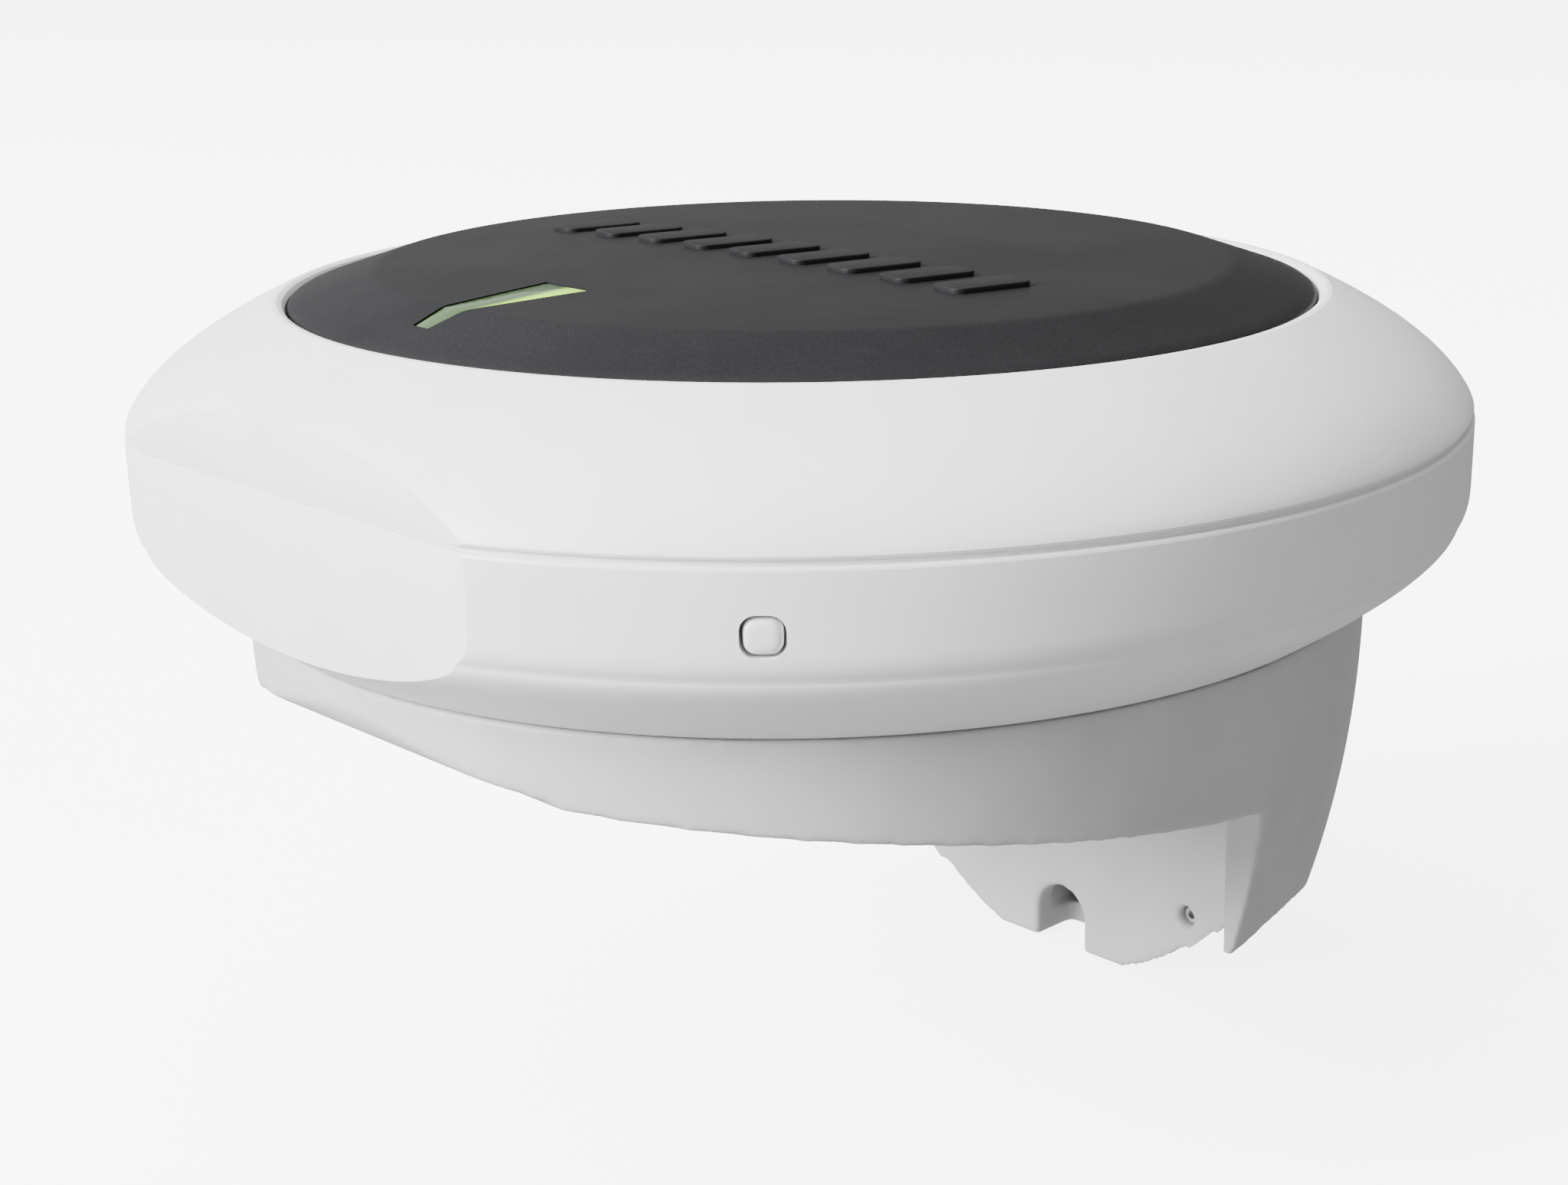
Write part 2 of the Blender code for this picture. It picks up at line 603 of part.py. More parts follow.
def make_screw(name, centre, seat, end, head_side, parent, thread=SCREW_THREAD, head_radius=SCREW_HEAD,
               head_height=SCREW_HEAD_HEIGHT, look=STEEL):
    """A screw along Z with a cross-slot. The head stands above its seat, or below when head_side is +1."""
    outer = seat - head_side * head_height
    profile = [(0, outer), (head_radius * 0.7, outer), (head_radius, (outer + seat) / 2),
               (head_radius, seat), (thread, seat), (thread, end), (0, end)]
    if head_side > 0:
        profile.reverse()
    screw = bake(turned(name, profile, look, closed=False, steps=10, parent=parent,
                        location=(centre[0], centre[1], 0)))
    for size in ((head_radius * 1.2, 0.0005), (0.0005, head_radius * 1.2)):
        cut(screw, block(name + "_slot", (size[0], size[1], head_height), None, centre=(0, 0, outer),
                         parent=screw))
    return screw


def make_cover_screws(head):
    seat = -HEAD_DROP + SCREW_HEAD_HEIGHT + GAP
    end = COVER_RISE - CAP_WALL - 0.0014 - SHELL_WALL - 0.0010
    for i, bearing in enumerate(cover_screw_bearings()):
        make_screw("housing_screw_%d" % (i + 1), around(COVER_SCREW_CIRCLE, bearing), seat, end, 1, head)


def make_connector(head):
    """Round plug socket in the floor of the housing: body, pins, insert, ring seal and nut."""
    floor = -HEAD_DROP + SHELL_WALL
    top = -HEAD_DROP + CONNECTOR_RISE
    mouth = -HEAD_DROP - CONNECTOR_MOUTH
    bore = CONNECTOR_RADIUS - CONNECTOR_WALL
    flange = NUT_RADIUS
    seal_low = floor + GAP
    seal_high = seal_low + 0.0012
    place = {"parent": head, "location": (0, CONNECTOR_SETBACK, 0)}
    body = [(0, top), (CONNECTOR_RADIUS, top), (CONNECTOR_RADIUS, seal_high + GAP + 0.0016),
            (flange, seal_high + GAP + 0.0016), (flange, seal_high + GAP),
            (CONNECTOR_RADIUS, seal_high + GAP), (CONNECTOR_RADIUS, mouth), (bore, mouth),
            (bore, top - 0.0016), (0, top - 0.0016)]
    shell = bake(turned("connector_shell", body, CHIP, closed=False, steps=32, **place))
    insert_top = top - 0.0016 - GAP
    insert_low = insert_top - 0.0018
    insert = rod("connector_insert", bore - GAP, insert_low, insert_top, CERAMIC, sides=32, **place)
    for i in range(PIN_COUNT):
        centre = around(PIN_CIRCLE, 90 + 360 / PIN_COUNT * i)
        cut(insert, rod("pin_hole", PIN_RADIUS + GAP / 2, insert_low - 0.001, insert_top + 0.001, None,
                        centre=centre, sides=12, **place))
        rod("connector_pin_%d" % (i + 1), PIN_RADIUS, insert_low - PIN_LENGTH + 0.0018, insert_top - 0.0001,
            BRASS, centre=centre, sides=12, **place)
    ring = [(flange - 0.0004, seal_high), (flange - 0.0004, seal_low), (CONNECTOR_RADIUS + GAP, seal_low),
            (CONNECTOR_RADIUS + GAP, seal_high)]
    bake(turned("connector_seal", ring, RUBBER, steps=32, **place))
    nut_high = -HEAD_DROP - GAP
    nut = rod("connector_nut", NUT_RADIUS, nut_high - NUT_HEIGHT, nut_high, BRASS, sides=6, **place)
    cut(nut, rod("nut_bore", CONNECTOR_RADIUS + GAP, nut_high - 0.01, nut_high + 0.01, None, sides=32,
                 **place))
    return shell


# ---------------------------------------------------------------- head: side button
def button_turn():
    """Local +Z of a button piece points outward along the button's bearing; local +Y points up."""
    outward = Vector((math.sin(math.radians(BUTTON_BEARING)), -math.cos(math.radians(BUTTON_BEARING)), 0))
    up = Vector((0, 0, 1))
    side = up.cross(outward)
    return Matrix((side, up, outward)).transposed().to_4x4()


def button_face():
    """Head's axis to the side band at the button's height."""
    return HEAD_RADIUS * 0.9985


def button_prism(name, margin, depth, proud, look, head):
    face = button_face()
    outline = rounded_rectangle(BUTTON_WIDTH + 2 * margin, BUTTON_HEIGHT + 2 * margin, 0.0011 + margin)
    turn = Matrix.Translation((0, 0, -BUTTON_DROP)) @ button_turn()
    return prism(name, outline, face - depth, face + proud, look, turn=turn, parent=head)


def outside_height(profile, radius):
    """Height of a profile's outside at a distance from the axis, between two of its points."""
    for (r0, z0), (r1, z1) in zip(profile, profile[1:]):
        if r1 <= radius <= r0:
            return z0 + (z1 - z0) * (r0 - radius) / (r0 - r1)
    return profile[-1][1]


def make_button(head, housing):
    """Side button with its flange, stem and return spring. The stem slides in a rib of the housing."""
    face = button_face()
    turn = Matrix.Translation((0, 0, -BUTTON_DROP)) @ button_turn()
    flange_out = face - BUTTON_SEAT - GAP
    flange_in = flange_out - BUTTON_FLANGE
    spring_out = flange_in - GAP
    spring_in = spring_out - SPRING_LENGTH
    guide_out = spring_in - GAP
    guide_in = guide_out - GUIDE_THICKNESS
    button = button_prism("lock_button", 0.0, BUTTON_SEAT + GAP + 0.0002, 0.0, WHITE_PLASTIC, head)
    edge = BUTTON_FLANGE_EDGE
    join(button, prism("flange", rounded_rectangle(BUTTON_WIDTH + 2 * edge, BUTTON_HEIGHT + 2 * edge, 0.001),
                       flange_in, flange_out, WHITE_PLASTIC, turn=turn, parent=head))
    join(button, rod("stem", BUTTON_STEM, guide_in - 0.0002, flange_out - 0.0002, WHITE_PLASTIC, sides=16,
                     turn=turn, parent=head))
    make_spring(head, turn, spring_in, spring_out)
    radius = (guide_in + guide_out) / 2
    low = outside_height(housing_outer(), radius) + SHELL_WALL * 0.5
    top = -BUTTON_DROP + BUTTON_HEIGHT / 2 + edge
    outline = [(-GUIDE_WIDTH / 2, low), (GUIDE_WIDTH / 2, low), (GUIDE_WIDTH / 2, top),
               (-GUIDE_WIDTH / 2, top)]
    join(housing, prism("guide", outline, guide_in, guide_out, WHITE_PLASTIC, turn=button_turn(),
                        parent=head))
    cut(housing, rod("guide_hole", BUTTON_STEM + SLIDE_GAP, guide_in - 0.002, guide_out + 0.002, None,
                     sides=12, turn=turn, parent=head))
    return button


def make_spring(head, turn, start, end):
    turns = SPRING_TURNS
    per_turn = 12
    count = turns * per_turn
    length = end - start - 2 * SPRING_WIRE
    curve = bpy.data.curves.new("button_spring", "CURVE")
    curve.dimensions = "3D"
    curve.bevel_depth = SPRING_WIRE
    curve.bevel_resolution = 2
    curve.use_fill_caps = True
    spline = curve.splines.new("POLY")
    spline.points.add(count)
    for i in range(count + 1):
        a = math.tau * i / per_turn
        z = start + SPRING_WIRE + length * i / count
        point = turn @ Vector((SPRING_RADIUS * math.cos(a), SPRING_RADIUS * math.sin(a), z))
        spline.points[i].co = (*point, 1)
    holder = bpy.data.objects.new("button_spring_curve", curve)
    parts.objects.link(holder)
    mesh = evaluated_mesh(holder)
    shape = bmesh.new()
    shape.from_mesh(mesh)
    bmesh.ops.remove_doubles(shape, verts=shape.verts, dist=0.000001)
    bmesh.ops.recalc_face_normals(shape, faces=shape.faces)
    shape.to_mesh(mesh)
    shape.free()
    smooth(mesh)
    bpy.data.objects.remove(holder, do_unlink=True)
    return add_object("button_spring", mesh, STEEL, parent=head)


# ---------------------------------------------------------------- bracket
def outer_radius(depth):
    """Bracket's outside about the head's axis, at a depth below the seat."""
    return SEAT_RADIUS - BRACKET_TAPER * (depth / BRACKET_DEPTH) ** 2.2


def face_half_width(depth):
    return FACE_HALF_WIDTH - FACE_TAPER * (depth / BRACKET_DEPTH) ** 3.2


def neck_setback():
    return FRONT_FACE_SETBACK + 0.001


def bracket_outline(depth, inset=0.0):
    """Plan outline at a depth: round in front, drawn in behind to the wall face. x right, y back."""
    radius = outer_radius(depth) - inset
    start = math.degrees(math.asin(neck_setback() / radius))
    half_width = face_half_width(depth) - inset
    back = WALL_OFFSET - inset
    right = arc(0, 0, radius, -90, start, 26)
    outline = right + [(half_width, back)]
    return outline + [(-x, y) for x, y in reversed(outline[1:])]


def underside(y):
    """Depth of the bracket's sloped underside below the seat, at a distance behind the head's axis."""
    return UNDERSIDE_DEPTH + UNDERSIDE_SLOPE * (y + SEAT_RADIUS * 0.9)


def side_outline(points):
    """Depth-and-setback points turned into a prism's XY outline for the side view."""
    return [(y, -depth) for y, depth in points]


def side_turn():
    """Carries a side-view outline (x: setback, y: height) across the object along X."""
    return Matrix(((0, 0, 1, 0), (1, 0, 0, 0), (0, 1, 0, 0), (0, 0, 0, 1)))


def make_bracket(seat):
    """The one-piece wall bracket: round seat, hollow leg, cable notch and flat wall face."""
    levels = [BRACKET_DEPTH * f for f in (0, 0.09, 0.2, 0.32, 0.44, 0.55, 0.65, 0.74, 0.82, 0.89, 0.95, 1.0)]
    sections = [[(x, y, -depth) for x, y in bracket_outline(depth)] for depth in levels]
    bracket = loft("wall_bracket", sections, BRACKET_PLASTIC, parent=seat)
    cut(bracket, scoop_cutter(seat), toe_cutter(seat))
    cut(bracket, rod("tray_pocket", TRAY_RADIUS + GAP, -tray_depth(), 0.01, None, sides=TURN_STEPS,
                     parent=seat))
    cut(bracket, well_cutter(seat), leg_cutter(seat), notch_cutter(seat))
    groove = [(RIM_SEAL_OUTER + GAP, 0.001), (RIM_SEAL_OUTER + GAP, -RIM_SEAL_DEPTH - GAP),
              (RIM_SEAL_INNER - GAP, -RIM_SEAL_DEPTH - GAP), (RIM_SEAL_INNER - GAP, 0.001)]
    cut(bracket, bake(turned("rim_groove", groove, None, parent=seat)))
    for x in (-wall_screw_offset(), wall_screw_offset()):
        cut(bracket, along_y("wall_screw_hole", WALL_SCREW_THREAD + GAP, x, -WALL_SCREW_DROP,
                             WALL_OFFSET - 0.02, WALL_OFFSET + 0.01, None, seat),
            along_y("driver_hole", WALL_SCREW_HEAD + 2 * GAP, x, -WALL_SCREW_DROP,
                    FRONT_FACE_SETBACK - 0.02, WALL_OFFSET - 0.015, None, seat))
    cut(bracket, along_y("set_screw_hole", SET_SCREW_RADIUS + GAP, SET_SCREW_OFFSET, set_screw_z(),
                         FRONT_FACE_SETBACK - 0.02, FRONT_FACE_SETBACK + SET_SCREW_LENGTH + 0.0014, None,
                         seat))
    for bearing in tray_screw_bearings():
        cut(bracket, rod("tray_screw_hole", SCREW_THREAD + GAP, -tray_depth() - TRAY_SCREW_GRIP, 0, None,
                         centre=around(TRAY_SCREW_CIRCLE, bearing), sides=12, parent=seat))
    return bracket


def along_y(name, radius, x, z, near, far, look, parent, sides=24):
    turn = Matrix.Translation((x, 0, z)) @ Matrix.Rotation(math.radians(-90), 4, "X")
    return rod(name, radius, near, far, look, sides=sides, turn=turn, parent=parent)


def scoop_arc():
    """Inside of the leg in plan on the +X side, from its front edge round to the flat front face."""
    across = SCOOP_REACH - SCOOP_FLAT
    back = FRONT_FACE_SETBACK - SCOOP_EDGE_SETBACK
    return [(SCOOP_FLAT + across * x, SCOOP_EDGE_SETBACK + back * y) for x, y in arc(0, 0, 1, 0, 90, 14)]


def scoop_cutter(seat):
    """Clears everything under the sloped underside in front of the leg, with large round inner corners."""
    reach = HEAD_RADIUS * 1.3
    right = [(reach, -reach), (reach, SCOOP_EDGE_SETBACK)] + scoop_arc()
    plan = right + [(-x, y) for x, y in reversed(right)]
    scoop = prism("scoop_cutter", plan, -BRACKET_DEPTH * 1.2, 0, None, parent=seat)
    front = -SEAT_RADIUS * 0.9
    corner = FRONT_CORNER_RADIUS
    bend = arc(-SEAT_RADIUS - 0.0003 + corner, -underside(-SEAT_RADIUS) + corner, corner, 180, 262, 6)
    ceiling = [(-reach, 0.0005), (-SEAT_RADIUS - 0.0003, 0.0005)] + bend
    ceiling += [(front, -underside(front)), (reach, -underside(reach)), (reach, reach), (-reach, reach)]
    keep = prism("scoop_ceiling", ceiling, -reach, reach, None, turn=side_turn(), parent=seat)
    return cut(scoop, keep)


def toe_depth(x, y):
    """Depth at which the leg's side wall has thinned to its edge, beside a point on the scoop."""
    radius = math.hypot(x + TOE_EDGE, y)
    return BRACKET_DEPTH * ((SEAT_RADIUS - radius) / BRACKET_TAPER) ** (1 / 2.2)


def toe_cutter(seat):
    """Trims the leg's sides along the line where they would run out to a knife edge."""
    reach = HEAD_RADIUS * 1.3
    line = [(y - 0.00005, toe_depth(x, y)) for x, y in scoop_arc()]
    points = [(-reach, line[0][1])] + line + [(line[-1][0], BRACKET_DEPTH * 1.2),
                                              (-reach, BRACKET_DEPTH * 1.2)]
    return prism("toe_cutter", side_outline(points), -reach, reach, None, turn=side_turn(), parent=seat)


def tray_depth():
    """Seat down to the floor of the tray's pocket."""
    return SPIGOT_DEPTH - GAP + TRAY_FLOOR + GAP


def well_cutter(seat):
    """Room for the connector and the cable inside the tray, with a floor that follows the underside."""
    radius = SPIGOT_RADIUS - SPIGOT_WALL
    well = rod("well_cutter", radius, -BRACKET_DEPTH, 0.002, None, sides=48, parent=seat)
    reach = HEAD_RADIUS
    points = [(-reach, underside(-reach) - BRACKET_WALL), (reach, underside(reach) - BRACKET_WALL),
              (reach, BRACKET_DEPTH * 1.3), (-reach, BRACKET_DEPTH * 1.3)]
    return cut(well, prism("well_floor", side_outline(points), -reach, reach, None, turn=side_turn(),
                           parent=seat))


def leg_cutter(seat):
    """Hollow of the leg, open to the well above it."""
    near = FRONT_FACE_SETBACK + BRACKET_WALL
    far = WALL_OFFSET - BRACKET_WALL
    sections = []
    for f in (0.10, 0.35, 0.6, 0.78, 0.9, 1.0):
        depth = (BRACKET_DEPTH - BRACKET_WALL) * f
        radius = outer_radius(depth) - BRACKET_WALL * 1.3
        near_half = math.sqrt(max(radius ** 2 - near ** 2, 0.004 ** 2))
        far_half = face_half_width(depth) - BRACKET_WALL
        near_half = min(near_half, SPIGOT_RADIUS * 0.8)
        sections.append([(-near_half, near, -depth), (near_half, near, -depth), (far_half, far, -depth),
                         (-far_half, far, -depth)])
    leg = loft("leg_cutter", sections, None, parent=seat)
    top = underside(0) - BRACKET_WALL
    passage = block("leg_passage", (SPIGOT_RADIUS, FRONT_FACE_SETBACK, top * 0.45), None,
                    centre=(0, FRONT_FACE_SETBACK * 0.85, -top * 0.62), parent=seat)
    return combine(leg, passage, "UNION")


def notch_cutter(seat):
    """Arched way out for the cable at the foot of the leg."""
    low = -BRACKET_DEPTH
    crown = low + NOTCH_RISE - NOTCH_HALF_WIDTH
    outline = ([(-NOTCH_HALF_WIDTH, low - 0.005), (NOTCH_HALF_WIDTH, low - 0.005)]
               + arc(0, crown, NOTCH_HALF_WIDTH, 0, 180, 8))
    turn = Matrix.Rotation(math.radians(90), 4, "X")
    near = FRONT_FACE_SETBACK - 0.005
    far = FRONT_FACE_SETBACK + BRACKET_WALL * 2.4
    return prism("notch_cutter", outline, -far, -near, None, turn=turn, parent=seat)


def wall_screw_offset():
    """Middle of the wall face out to each wall screw."""
    inside = face_half_width(WALL_SCREW_DROP) - BRACKET_WALL
    return inside - WALL_SCREW_HEAD - WALL_SCREW_MARGIN


def set_screw_z():
    return -BRACKET_DEPTH + SET_SCREW_HEIGHT


def tray_screw_bearings():
    """Half way between the hooks."""
    return [90 + 360 / LUG_COUNT * (i + 0.5) for i in range(LUG_COUNT)]


def make_tray(seat):
    """Ring screwed into the bracket, with hooks that hold the head's lugs down."""
    depth = tray_depth()
    inner = SPIGOT_RADIUS + LUG_REACH + 2 * GAP
    low = -depth + GAP
    top = -GAP
    ring = [(TRAY_RADIUS, top), (TRAY_RADIUS, low), (inner, low), (inner, top)]
    tray = bake(turned("lock_tray", ring, CHIP, parent=seat))
    hook_inner = SPIGOT_RADIUS + 2 * GAP
    lug_top = GAP - SPIGOT_DEPTH + LUG_THICKNESS
    hook_low = lug_top + GAP
    for i in range(LUG_COUNT):
        middle = 90 + 360 / LUG_COUNT * i
        start = middle - TRAY_HOOK_ANGLE / 2
        join(tray, prism("hook", sector(hook_inner, inner + 0.001, start, start + TRAY_HOOK_ANGLE),
                         hook_low, top - 0.0001, CHIP, parent=seat))
        stop = middle - LUG_ANGLE / 2 - STOP_CLEARANCE
        wedge = sector(hook_inner + 0.0002, inner + 0.0012, stop - STOP_ANGLE, stop, count=1)
        join(tray, prism("stop", wedge, low + 0.0001, top - 0.0002, CHIP, parent=seat))
    for i, bearing in enumerate(tray_screw_bearings()):
        x, y = around(TRAY_SCREW_CIRCLE, bearing)
        cut(tray, rod("tray_hole", SCREW_THREAD + GAP, low - 0.001, top + 0.001, None, centre=(x, y),
                      sides=12, parent=seat),
            rod("tray_sink", SCREW_HEAD + GAP, top - SCREW_HEAD_HEIGHT - 2 * GAP, top + 0.001, None,
                centre=(x, y), sides=16, parent=seat))
        make_screw("tray_screw_%d" % (i + 1), (x, y), top - SCREW_HEAD_HEIGHT - GAP,
                   -depth - TRAY_SCREW_GRIP + GAP, -1, seat)
    return tray


def make_rim_seal(seat):
    ring = [(RIM_SEAL_OUTER, 0), (RIM_SEAL_OUTER, -RIM_SEAL_DEPTH), (RIM_SEAL_INNER, -RIM_SEAL_DEPTH),
            (RIM_SEAL_INNER, 0)]
    return bake(turned("rim_seal", ring, RUBBER, parent=seat))


def make_bracket_screws(seat):
    for i, x in enumerate((-wall_screw_offset(), wall_screw_offset())):
        inner_face = WALL_OFFSET - BRACKET_WALL
        head_face = inner_face - GAP
        screw = along_y("wall_screw_%d" % (i + 1), WALL_SCREW_HEAD, x, -WALL_SCREW_DROP,
                        head_face - 0.0024, head_face, STEEL, seat, sides=24)
        join(screw, along_y("shank", WALL_SCREW_THREAD, x, -WALL_SCREW_DROP, head_face - 0.001,
                            WALL_OFFSET - GAP, STEEL, seat, sides=16))
        for size in ((0.0044, 0.0008), (0.0008, 0.0044)):
            cut(screw, block("wall_screw_slot", (size[0], 0.0024, size[1]), None,
                             centre=(x, head_face - 0.0024, -WALL_SCREW_DROP), parent=seat))


def make_set_screw(seat):
    near = FRONT_FACE_SETBACK + 0.0012
    screw = along_y("set_screw", SET_SCREW_RADIUS, SET_SCREW_OFFSET, set_screw_z(), near,
                    FRONT_FACE_SETBACK + SET_SCREW_LENGTH, STEEL, seat, sides=16)
    return cut(screw, along_y("socket", SET_SCREW_RADIUS * 0.6, SET_SCREW_OFFSET, set_screw_z(),
                              near - 0.001, near + 0.0014, None, seat, sides=6))


def main():
    global parts, cutters
    clear_scene()
    parts = new_collection("heading_sensor")
    cutters = new_collection("cutters")
    head = add_empty("head_axis", (0, AXIS_Y, PARTING_Z))
    seat = add_empty("seat_axis", (0, AXIS_Y, SEAT_Z))
    bpy.context.view_layer.update()
    make_cover(head)
    housing = make_housing(head)
    make_seal(head)
    make_cap(head)
    make_light_pipe(head)
    make_electronics(head)
    make_cover_screws(head)
    make_connector(head)
    make_button(head, housing)
    make_bracket(seat)
    make_tray(seat)
    make_rim_seal(seat)
    make_bracket_screws(seat)
    make_set_screw(seat)


main()
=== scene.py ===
"""Looks of a round satellite heading sensor on its wall bracket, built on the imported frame."""
import math

import bmesh
import bpy
from mathutils import Matrix, Vector


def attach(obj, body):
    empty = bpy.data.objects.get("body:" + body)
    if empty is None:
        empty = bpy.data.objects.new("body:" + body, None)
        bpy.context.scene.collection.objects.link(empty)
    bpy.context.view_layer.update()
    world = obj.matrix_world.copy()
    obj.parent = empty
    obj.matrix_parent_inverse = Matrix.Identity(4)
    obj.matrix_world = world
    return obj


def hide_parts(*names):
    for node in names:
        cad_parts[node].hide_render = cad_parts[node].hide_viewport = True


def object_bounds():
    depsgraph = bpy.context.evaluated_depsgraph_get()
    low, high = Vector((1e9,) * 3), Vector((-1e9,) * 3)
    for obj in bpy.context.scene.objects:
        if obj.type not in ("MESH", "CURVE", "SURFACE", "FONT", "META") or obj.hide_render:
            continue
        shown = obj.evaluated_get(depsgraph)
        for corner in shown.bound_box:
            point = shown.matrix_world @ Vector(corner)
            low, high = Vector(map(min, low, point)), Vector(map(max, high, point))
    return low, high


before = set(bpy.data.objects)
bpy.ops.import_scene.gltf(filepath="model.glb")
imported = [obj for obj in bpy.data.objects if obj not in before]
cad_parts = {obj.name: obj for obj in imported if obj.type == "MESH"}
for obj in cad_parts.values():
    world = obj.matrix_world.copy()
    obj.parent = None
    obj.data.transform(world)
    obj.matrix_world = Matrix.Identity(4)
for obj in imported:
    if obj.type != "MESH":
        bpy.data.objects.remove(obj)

CAD_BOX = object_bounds()

# ---------------------------------------------------------------- sizes, in metres
RADIUS = 0.070            # rim of the head
AXIS_Y = -0.0721          # head's axis
PARTING_Z = 0.04855       # line between cover and housing
DROP = 0.0185             # parting line down to the head's underside
RISE = 0.0117             # parting line up to the cover's inner rim
WALL = 0.0024             # shells of the head
FLAT = 0.0642             # head's axis to the flat
CAP_RADIUS = 0.0534
CAP_EDGE = 0.0114         # parting line up to the cap's edge
CAP_BEVEL_WIDTH = 0.0087
CAP_BEVEL_RISE = 0.0029
CAP_CROWN = 0.0009
BAR_COUNT = 9             # raised bars on the cap
BAR_WIDTH = 0.0046
BAR_LENGTH = 0.0092
BAR_HEIGHT = 0.0011
BAR_PROUD = 0.00048       # bar's top above the cap
BAR_SPAN = 0.064          # whole row
BAR_SETBACK = -0.0046     # row from the head's axis
BAR_SLANT = -12           # degrees
LIGHT_WIDE = 0.0033       # half the light's width at its inner end
LIGHT_NARROW = 0.0010     # half its width at the outer end
LIGHT_INNER = 0.0315      # head's axis to the inner end
LIGHT_OUTER = 0.0483      # head's axis to the outer end
COLLAR_RADIUS = 0.0385
COLLAR_BORE = 0.0355
COLLAR_DEPTH = 0.0052
LUG_COUNT = 3
LUG_RADIUS = 0.0415
LUG_HALF_ANGLE = 15       # degrees
SOCKET_HOLE = 0.0088      # hole for the connector
SOCKET_SETBACK = 0.018
SCREW_COUNT = 4           # housing screws
SCREW_CIRCLE = 0.0520
SCREW_HOLE = 0.0024
BUTTON_BEARING = 44.0     # degrees
BUTTON_FACE = RADIUS * 0.9985
BUTTON_DROP = 0.0061      # parting line down to the button's middle
BUTTON_WIDTH = 0.0033
BUTTON_HEIGHT = 0.0031
BUTTON_CORNER = 0.0011
SEAT_Z = 0.02975          # top of the bracket
SEAT_RADIUS = 0.0595
DEPTH = 0.0595            # seat down to the bracket's foot
TAPER = 0.0168            # how much smaller the bracket's radius is at the foot
TAPER_POWER = 2.2
FACE = 0.0410             # head's axis back to the leg's front face
WALL_AT = 0.0721          # head's axis back to the wall
WALL_FACE_HALF = 0.0172   # half the wall face's width, at the seat
WALL_FACE_TAPER = 0.0090  # how much less it is at the foot
BRACKET_WALL = 0.0028
UNDERSIDE_DEPTH = 0.0078  # seat down to the underside near the front
UNDERSIDE_SLOPE = 0.133
LIP = 0.0066              # rounding of the underside's front edge
SCOOP_ACROSS = 0.0189     # where the scoop meets the leg's front face
SCOOP_REACH = 0.0539      # where it meets the bracket's side
SCOOP_SETBACK = 0.0045
RECESS_RADIUS = 0.0485    # for the lock tray
RECESS_DEPTH = 0.0058
WELL_RADIUS = 0.0355
PASSAGE_HALF = 0.01925
NOTCH_RADIUS = 0.0038
NOTCH_HEIGHT = 0.0040
WALL_SCREW_X = 0.0095
WALL_SCREW_Z = -0.0292
WALL_SCREW_HOLE = 0.0022
DRIVER_HOLE = 0.0042
SET_SCREW_X = 0.0203
SET_SCREW_RISE = 0.0098   # above the foot
SET_SCREW_HOLE = 0.0013
FINE = 192                # steps in a full turn
OUT = 0.09                # well past the bracket on every side


# ---------------------------------------------------------------- mesh helpers
def place(name, mesh, look, body, *replaced, origin=(0, AXIS_Y, PARTING_Z)):
    item = bpy.data.objects.new(name, mesh)
    item.location = origin
    bpy.context.scene.collection.objects.link(item)
    mesh.materials.clear()
    mesh.materials.append(look)
    if replaced:
        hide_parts(*replaced)
    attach(item, body)
    return item


def helper(name, mesh):
    item = bpy.data.objects.new(name, mesh)
    bpy.context.scene.collection.objects.link(item)
    return item


def finished_mesh(item):
    bpy.context.view_layer.update()
    depsgraph = bpy.context.evaluated_depsgraph_get()
    made = bpy.data.meshes.new_from_object(item.evaluated_get(depsgraph))
    bpy.data.objects.remove(item, do_unlink=True)
    return made


def turned_mesh(profile, steps=FINE, closed=True):
    mesh = bpy.data.meshes.new("profile")
    edges = [(i, i + 1) for i in range(len(profile) - 1)]
    if closed:
        edges.append((len(profile) - 1, 0))
    mesh.from_pydata([(r, 0, z) for r, z in profile], edges, [])
    item = helper("profile", mesh)
    screw = item.modifiers.new("turn", "SCREW")
    screw.axis = "Z"
    screw.angle = math.tau
    screw.steps = steps
    screw.render_steps = steps
    screw.use_merge_vertices = True
    screw.merge_threshold = 0.000001
    return welded(finished_mesh(item))


def welded(mesh, distance=0.000001):
    shape = bmesh.new()
    shape.from_mesh(mesh)
    bmesh.ops.remove_doubles(shape, verts=shape.verts, dist=distance)
    bmesh.ops.recalc_face_normals(shape, faces=shape.faces)
    shape.to_mesh(mesh)
    shape.free()
    return mesh


def boolean(mesh, tool, operation="DIFFERENCE"):
    item = helper("work", mesh)
    other = helper("tool", tool)
    step = item.modifiers.new("cut", "BOOLEAN")
    step.operation = operation
    step.object = other
    made = finished_mesh(item)
    bpy.data.objects.remove(other, do_unlink=True)
    return welded(made)


def beveled(mesh, width, segments, angle):
    item = helper("work", mesh)
    step = item.modifiers.new("edges", "BEVEL")
    step.width = width
    step.segments = segments
    step.limit_method = "ANGLE"
    step.angle_limit = math.radians(angle)
    return finished_mesh(item)


def remeshed(mesh, voxel, rounds):
    """Soft moulded edges: voxels, then a few rounds of smoothing."""
    item = helper("work", mesh)
    step = item.modifiers.new("voxels", "REMESH")
    step.mode = "VOXEL"
    step.voxel_size = voxel
    step.use_smooth_shade = True
    soften = item.modifiers.new("soften", "SMOOTH")
    soften.iterations = rounds
    return finished_mesh(item)


def smooth(mesh, angle):
    mesh.shade_smooth()
    mesh.set_sharp_from_angle(angle=math.radians(angle))
    return mesh


